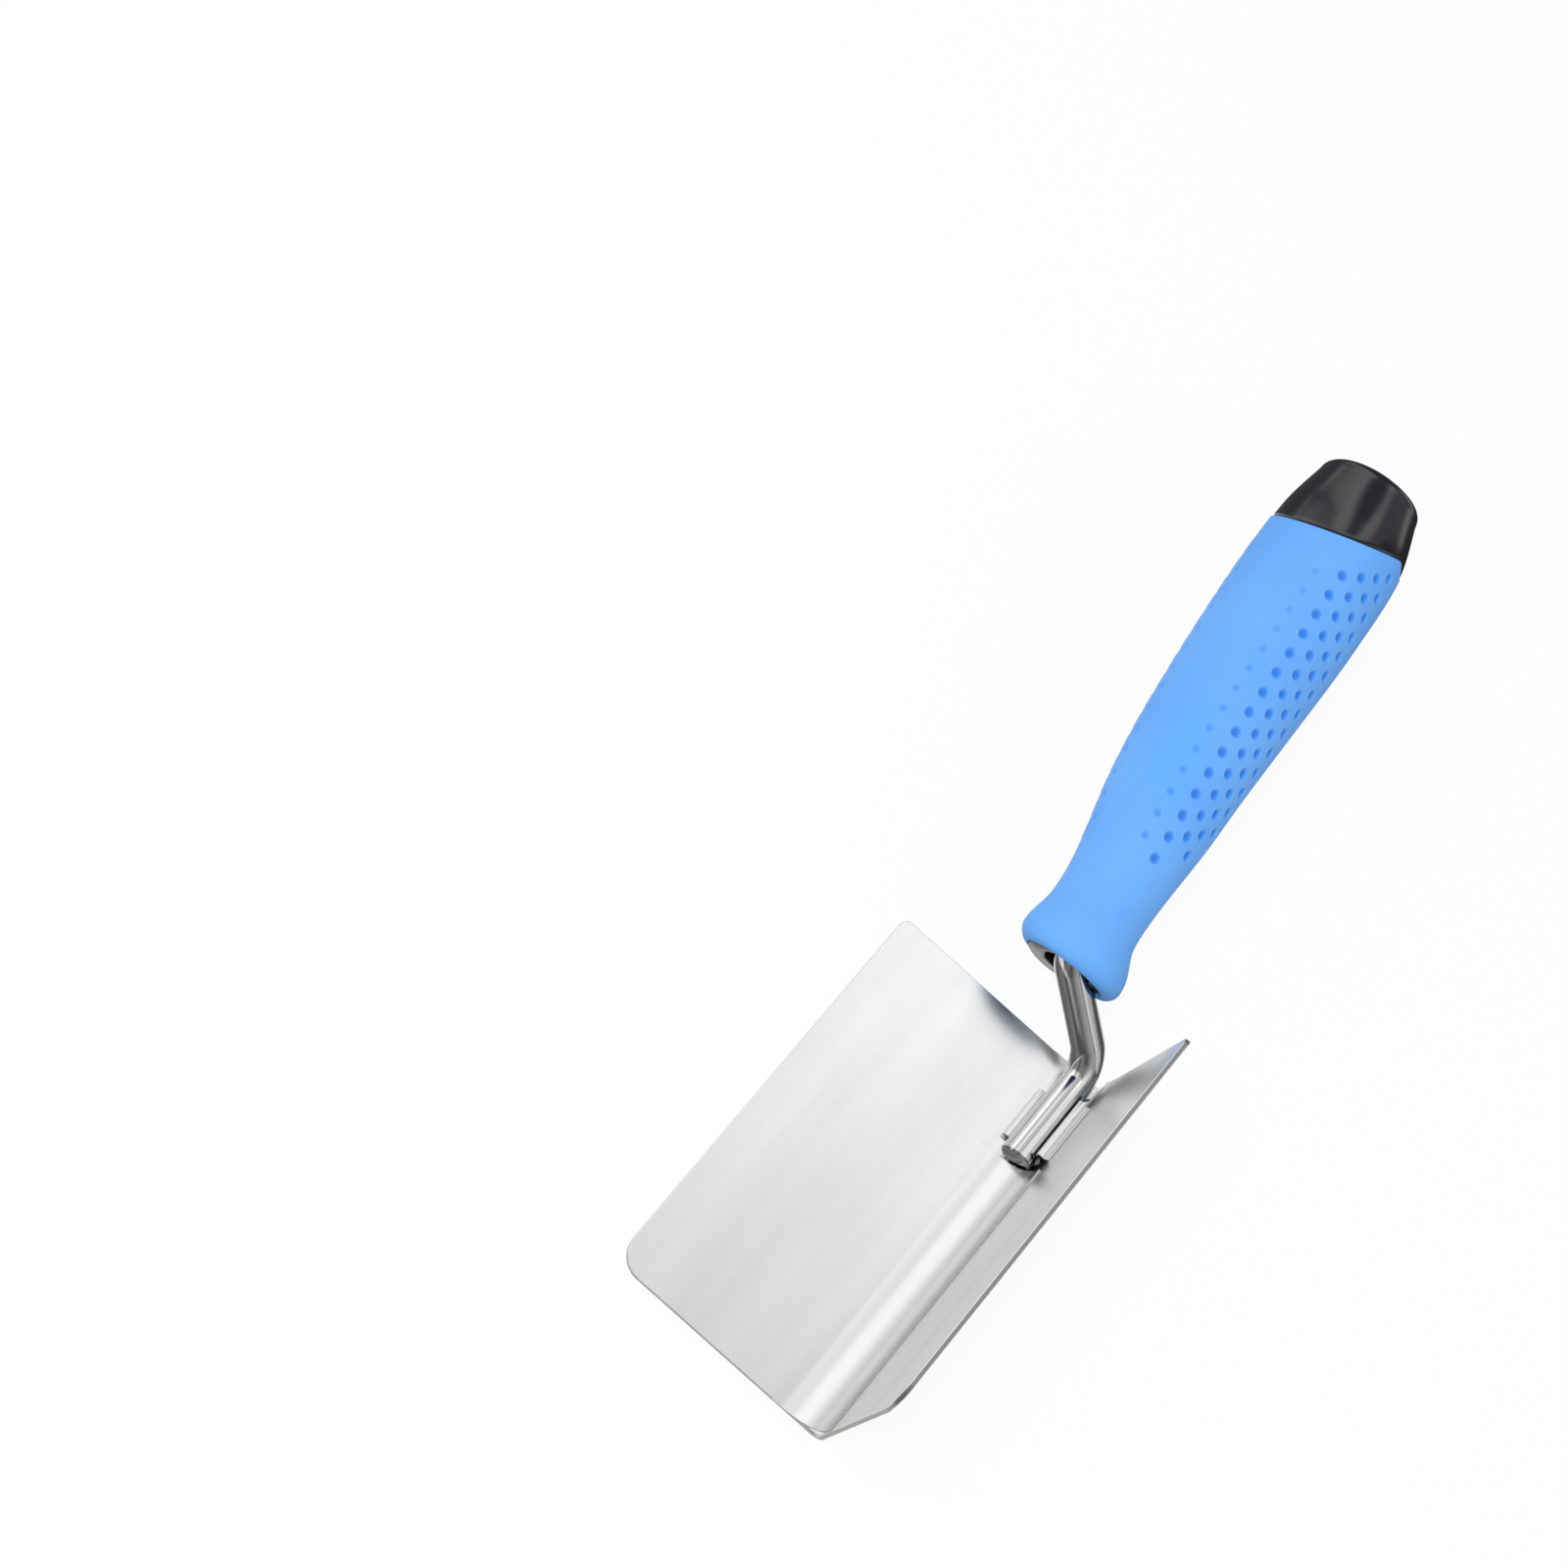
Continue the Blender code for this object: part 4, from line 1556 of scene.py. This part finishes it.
    def build_cap(self, finish: bpy.types.Material) -> bpy.types.Object:
        """Make the butt cap, with its socket, and dress it.

        Args:
            finish: the material that it wears.

        Returns:
            The cap's object.
        """
        socket = self.core / 2 + self.gap
        floor = self.parting_at + self.core_tail + self.gap
        start = self.parting_at + self.parting_gap / 2
        stations = [self.ring(floor, 0.0), self.ring(floor, socket), self.ring(start, socket, leaning=True)]
        for index in range(self.cap_edge_steps + 1):
            angle = RIGHT_ANGLE * index / self.cap_edge_steps
            sink = self.step + self.cap_edge * (1 - math.sin(angle))
            stations.append(self.outside(start + self.cap_edge * (1 - math.cos(angle)), sink))
        start += self.cap_edge
        for index in range(1, self.cap_steps + 1):
            share = index / self.cap_steps
            sink = self.step * (1 - smooth_step(0.0, 1.0, share))
            stations.append(self.outside(start + (self.butt_at - start) * share, sink))
        for index in range(1, self.fillet_steps + 1):
            angle = RIGHT_ANGLE * index / self.fillet_steps
            radius = self.butt / 2 - self.butt_fillet * (1 - math.cos(angle))
            stations.append(self.ring(self.butt_at + self.butt_fillet * math.sin(angle), radius))
        stations.append(self.ring(self.butt_at + self.butt_fillet, 0.0))
        shape = skin(stations, even_turns(self.sides))
        self.frame.place_all(shape)
        return Piece("black_cap", "butt_cap", "hard_black_plastic", sharp_from=50.0).make(shape, finish)


@dataclass
class Dimples:
    """The field of round hollows on both sides of the grip, in slanting rows."""

    radii: Callable[[float], float]
    rows: int = 14
    columns: int = 5
    first: float = 100.77
    row_pitch: float = 5.57
    column_shift: float = 2.75
    upper_at: float = 105.0
    upper_angles: tuple[float, ...] = (55.5, 36.6, 21.8, 8.4, -4.8)
    lower_at: float = 30.0
    lower_angles: tuple[float, ...] = (54.3, 32.2, 14.7, -0.2, -15.6)
    short_row: tuple[int, ...] = (1, 3)
    crater: float = 1.30
    halo: float = 1.80
    deepest: float = 0.75
    ridge: float = 0.10
    steepness: float = 2.8
    search: float = 1.5
    faint_depth: Pair = (0.30, 0.55)
    faint_width: float = 0.72
    low: float = 21.0
    high: float = 114.0
    turn_spans: tuple[tuple[float, float, int], ...] = (
        (-24.0, 64.0, 92), (64.0, 116.0, 20), (116.0, 204.0, 92), (204.0, 336.0, 38),
    )

    @property
    def search_depth(self) -> float:
        """How far under the outline a point may lie and still be in a hollow."""
        return self.search * self.deepest

    def column_angle(self, column: int, along: float) -> float:
        """Angle of a column at a place along the handle.

        Args:
            column: the column's number, from the top.
            along: place along the handle.

        Returns:
            The angle in radians.
        """
        share = (along - self.lower_at) / (self.upper_at - self.lower_at)
        lower = self.lower_angles[column]
        return math.radians(lower + (self.upper_angles[column] - lower) * share)

    def strength(self, column: int, row: int) -> Pair:
        """Depth and width of a hollow as shares of a full one. The first column is faint.

        Args:
            column: the column's number, from the top.
            row: the row's number, from the butt.

        Returns:
            The two shares.
        """
        if column > 0:
            return 1.0, 1.0
        first, last = self.faint_depth
        return first + (last - first) * min(row / (self.rows - 1), 1.0), self.faint_width

    def depth(self, along: float, angle: float) -> float:
        """How far the surface is pressed in at a place.

        Args:
            along: place along the handle.
            angle: angle round it.

        Returns:
            The depth in millimetres, below zero on a hollow's raised rim.
        """
        if not self.low < along < self.high:
            return 0.0
        turned = math.atan2(math.sin(angle), math.cos(angle))
        if abs(turned) > RIGHT_ANGLE:
            turned = math.copysign(math.pi, turned) - turned
        total = 0.0
        radius = self.radii(along)
        for column in range(self.columns):
            off_angle = (turned - self.column_angle(column, along)) * radius
            if abs(off_angle) > self.halo:
                continue
            nearest = round((self.first + self.column_shift * column - along) / self.row_pitch)
            row = min(max(nearest, 0), self.rows)
            if row == self.rows and column not in self.short_row:
                row = self.rows - 1
            off_along = along - (self.first + self.column_shift * column - self.row_pitch * row)
            deep, wide = self.strength(column, row)
            away = math.hypot(off_angle, off_along) / wide
            if away < self.crater:
                total += self.deepest * deep * (1 - (away / self.crater) ** self.steepness)
            elif away < self.halo:
                swell = math.sin(math.pi * (away - self.crater) / (self.halo - self.crater))
                total -= self.ridge * deep * swell
        return total

    def turns(self) -> list[float]:
        """Shares of the round, close together where the dimples lie and wide apart elsewhere.

        Returns:
            The shares, from the first mark through one whole round.
        """
        marks = []
        for start, stop, count in self.turn_spans:
            marks += [(start + (stop - start) * index / count) / 360.0 for index in range(count)]
        return marks + [marks[0] + 1.0]


@dataclass(frozen=True)
class SoftBox:
    """One soft studio lamp that looks at the tool."""

    name: str
    where: Triple
    size: Pair
    power: float

    def build(self, target: Vector) -> bpy.types.Object:
        """Hang the lamp and turn it to the target.

        Args:
            target: the point that it looks at, in metres.

        Returns:
            The lamp's object.
        """
        lamp = bpy.data.lights.new(self.name, "AREA")
        lamp.shape = "RECTANGLE"
        lamp.size, lamp.size_y = self.size
        lamp.energy = self.power
        thing = bpy.data.objects.new(self.name, lamp)
        thing.location = self.where
        thing.rotation_euler = (target - Vector(self.where)).to_track_quat("-Z", "Y").to_euler()
        thing.visible_glossy = False
        bpy.context.scene.collection.objects.link(thing)
        return thing


@dataclass(frozen=True)
class Glow:
    """One soft bright field of the room, which only reflections show."""

    toward: Triple
    inner: float
    outer: float
    level: float

    def add(self, nodes: Nodes, way: bpy.types.NodeSocket) -> bpy.types.NodeSocket:
        """Brightness of the field along a direction.

        Args:
            nodes: the world's node layer.
            way: the direction looked in.

        Returns:
            The level inside the inner angle, easing to 0 at the outer one.
        """
        middle = Vector(self.toward).normalized()
        facing = nodes.vectors("DOT_PRODUCT", way, tuple(middle))
        edges = (math.cos(math.radians(self.outer)), math.cos(math.radians(self.inner)))
        level = nodes.ranged(facing, edges, (0.0, self.level))
        level.node.interpolation_type = "SMOOTHSTEP"
        return level


@dataclass(frozen=True)
class Flag:
    """One dark card, on the floor or upright, that only reflections show."""

    name: str
    where: Triple
    size: Pair
    level: float
    upright: bool = False

    def build(self) -> bpy.types.Object:
        """Lay the card or stand it up.

        Returns:
            The card's object.
        """
        shape = bmesh.new()
        bmesh.ops.create_grid(shape, x_segments=1, y_segments=1, size=0.5)
        bmesh.ops.scale(shape, vec=(*self.size, 1.0), verts=shape.verts)
        mesh = bpy.data.meshes.new(self.name)
        shape.to_mesh(mesh)
        shape.free()
        card = bpy.data.objects.new(self.name, mesh)
        card.location = self.where
        if self.upright:
            card.rotation_euler.x = RIGHT_ANGLE
        card.visible_camera = False
        card.visible_diffuse = False
        card.visible_shadow = False
        card.visible_transmission = False
        bpy.context.scene.collection.objects.link(card)
        material, nodes, _ = start_finish(self.name)
        glow = nodes.add("ShaderNodeEmission", Strength=self.level)
        nodes.feed(material.node_tree.nodes["Material Output"].inputs["Surface"], glow.outputs[0])
        mesh.materials.append(material)
        return card


@dataclass
class Studio:
    """White floor, soft light and the camera, in metres."""

    floor_size: float = 6.0
    floor_height: float = -0.0002
    floor_tone: float = 0.92
    floor_rough: float = 0.9
    floor_glow: float = 0.93
    room_light: float = 0.50
    room_shade: float = 0.27
    lens: float = 94.05
    sensor: float = 36.0
    nearest: float = 0.01
    eye: Triple = (-0.0901, -0.2856, 0.8691)
    right: Triple = (0.7452, 0.6145, 0.2590)
    up: Triple = (-0.6665, 0.6984, 0.2609)
    back: Triple = (-0.0206, -0.3670, 0.9300)
    target: Triple = (0.0, 0.03, 0.03)
    boxes: tuple[SoftBox, ...] = (
        SoftBox("left_softbox", (-0.36, -0.26, 1.22), (0.45, 0.45), 9.4),
        SoftBox("right_softbox", (0.63, 0.24, 0.70), (0.60, 0.75), 0.8),
    )
    flags: tuple[Flag, ...] = (
        Flag("right_flag", (0.125, 0.13, -0.0001), (0.18, 0.20), 0.18),
        Flag("back_flag", (-0.14, 0.34, -0.0001), (0.26, 0.30), 0.12),
        Flag("butt_flag", (0.10, 0.26, -0.00005), (0.20, 0.17), 0.04),
        Flag("left_screen", (-0.335, 0.33, 0.30), (0.13, 0.60), 0.08, True),
        Flag("middle_screen", (-0.040, 0.33, 0.30), (0.130, 0.60), 0.06, True),
        Flag("right_screen", (0.280, 0.33, 0.30), (0.24, 0.60), 0.06, True),
    )
    glows: tuple[Glow, ...] = (
        Glow((-0.12, 0.56, 0.78), 25.0, 35.0, 1.25),
        Glow((-0.45, 0.42, 0.77), 25.0, 48.0, 0.97),
        Glow((-0.86, 0.20, 0.45), 4.0, 42.0, 1.20),
        Glow((0.72, 0.37, 0.59), 10.0, 20.0, 1.00),
        Glow((0.96, 0.12, 0.06), 14.0, 24.0, 1.25),
        Glow((0.62, -0.78, 0.03), 9.0, 18.0, 0.95),
        Glow((0.10, -0.36, 0.93), 12.0, 35.0, 0.50),
    )

    @staticmethod
    def seen(nodes: Nodes) -> bpy.types.NodeSocket:
        """1 for rays that show a white background, 0 for light that falls on the tool.

        Args:
            nodes: the node layer to work in.

        Returns:
            The output with that mask.
        """
        path = nodes.add("ShaderNodeLightPath")
        both = nodes.maths("MAXIMUM", path.outputs["Is Camera Ray"], path.outputs["Is Glossy Ray"])
        return nodes.maths("MAXIMUM", both, path.outputs["Is Transmission Ray"])

    def build_floor(self) -> bpy.types.Object:
        """Lay the pale floor that keeps the tool's shadow.

        Returns:
            The floor's object.
        """
        shape = bmesh.new()
        bmesh.ops.create_grid(shape, x_segments=1, y_segments=1, size=self.floor_size / 2)
        mesh = bpy.data.meshes.new("studio_floor")
        shape.to_mesh(mesh)
        shape.free()
        floor = bpy.data.objects.new("studio_floor", mesh)
        floor.location.z = self.floor_height
        bpy.context.scene.collection.objects.link(floor)
        material, nodes, shader = start_finish("studio_white")
        shader.inputs["Base Color"].default_value = (self.floor_tone,) * 3 + (1.0,)
        shader.inputs["Roughness"].default_value = self.floor_rough
        glow = nodes.add("ShaderNodeEmission", Strength=1.0)
        share = nodes.maths("MULTIPLY", self.seen(nodes), self.floor_glow)
        mix = nodes.add("ShaderNodeMixShader", i0=share, i1=shader.outputs[0], i2=glow.outputs[0])
        nodes.feed(material.node_tree.nodes["Material Output"].inputs["Surface"], mix.outputs[0])
        mesh.materials.append(material)
        return floor

    def build_world(self) -> bpy.types.World:
        """Light the room: white for the camera, soft bright fields for reflections, even for the rest.

        Returns:
            The world.
        """
        world = bpy.data.worlds.new("studio_room")
        world.use_nodes = True
        nodes = Nodes(world.node_tree)
        backdrop = world.node_tree.nodes["Background"]
        path = nodes.add("ShaderNodeLightPath")
        way = nodes.add("ShaderNodeTexCoord").outputs["Generated"]
        level = self.room_shade
        for glow in self.glows:
            level = nodes.maths("MAXIMUM", glow.add(nodes, way), level)
        room = nodes.mixed(path.outputs["Is Glossy Ray"], (self.room_light,) * 3 + (1.0,), level)
        room = nodes.mixed(path.outputs["Is Camera Ray"], room, WHITE)
        nodes.feed(backdrop.inputs["Color"], room)
        backdrop.inputs["Strength"].default_value = 1.0
        bpy.context.scene.world = world
        return world

    def build_camera(self) -> bpy.types.Object:
        """Stand the camera where the photograph was taken from.

        Returns:
            The camera's object.
        """
        lens = bpy.data.cameras.new("photo_camera")
        lens.lens = self.lens
        lens.sensor_width = self.sensor
        lens.sensor_fit = "HORIZONTAL"
        lens.clip_start = self.nearest
        camera = bpy.data.objects.new("photo_camera", lens)
        turn = Matrix((self.right, self.up, self.back)).transposed().to_4x4()
        camera.matrix_world = Matrix.Translation(self.eye) @ turn
        bpy.context.scene.collection.objects.link(camera)
        bpy.context.scene.camera = camera
        return camera

    def build(self) -> None:
        """Set up the whole studio."""
        self.build_camera()
        self.build_floor()
        for flag in self.flags:
            flag.build()
        self.build_world()
        for box in self.boxes:
            box.build(Vector(self.target))
        bpy.context.scene.view_settings.view_transform = "Standard"


SATIN_STAINLESS = SteelFinish(
    "satin_stainless", dark=0.74, light=0.83, smooth=0.15, rough=0.21,
    lines=(5200.0, 70.0, 5200.0), streaks=(110.0, 9.0, 110.0),
)
PRESSED_STEEL = SteelFinish(
    "pressed_steel", dark=0.66, light=0.78, smooth=0.14, rough=0.22,
    lines=(4200.0, 90.0, 4200.0), streaks=(160.0, 20.0, 160.0),
)
# Painted reflection: the wide dark-to-light range on long, sharp-edged streaks paints the studio's reflection
# bands along the rod.
POLISHED_ROD_PAINTED_REFLECTIONS = SteelFinish(
    "polished_rod", dark=0.32, light=0.88, smooth=0.08, rough=0.13,
    lines=(150.0, 9.0, 1.0), streaks=(16.0, 0.25, 1.0),
    coordinates=Coordinates.UNWRAPPED, relief=0.04, spread=(0.43, 0.57),
)


def main() -> None:
    """Load the frame, build each part of the tool over it and set up the studio."""
    logging.basicConfig(level=logging.INFO, format="%(name)s: %(message)s")
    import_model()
    frame = ToolFrame.from_packed()
    effects = SharedEffects()
    satin = SATIN_STAINLESS.make(effects)
    pressed = PRESSED_STEEL.make(effects)
    rod_painted_reflections = POLISHED_ROD_PAINTED_REFLECTIONS.make(effects)
    rubber = SoftRubberFinish().make(effects)
    plastic = HardPlasticFinish().make(effects)

    blade = Blade(frame)
    fittings = FoldFittings(frame, blade)
    rod = Rod(frame, fittings.rod_height(Rod.diameter / 2))
    handle = Handle(frame, rod)
    dimples = Dimples(handle.radius)
    blade.build(satin)
    fittings.build_liner(rod, satin)
    fittings.build_saddle(rod, pressed)
    rod.build(rod_painted_reflections)
    handle.build_core(plastic)
    handle.build_grip(dimples, rubber)
    handle.build_cap(plastic)
    Studio().build()


if __name__ == "__main__":
    main()
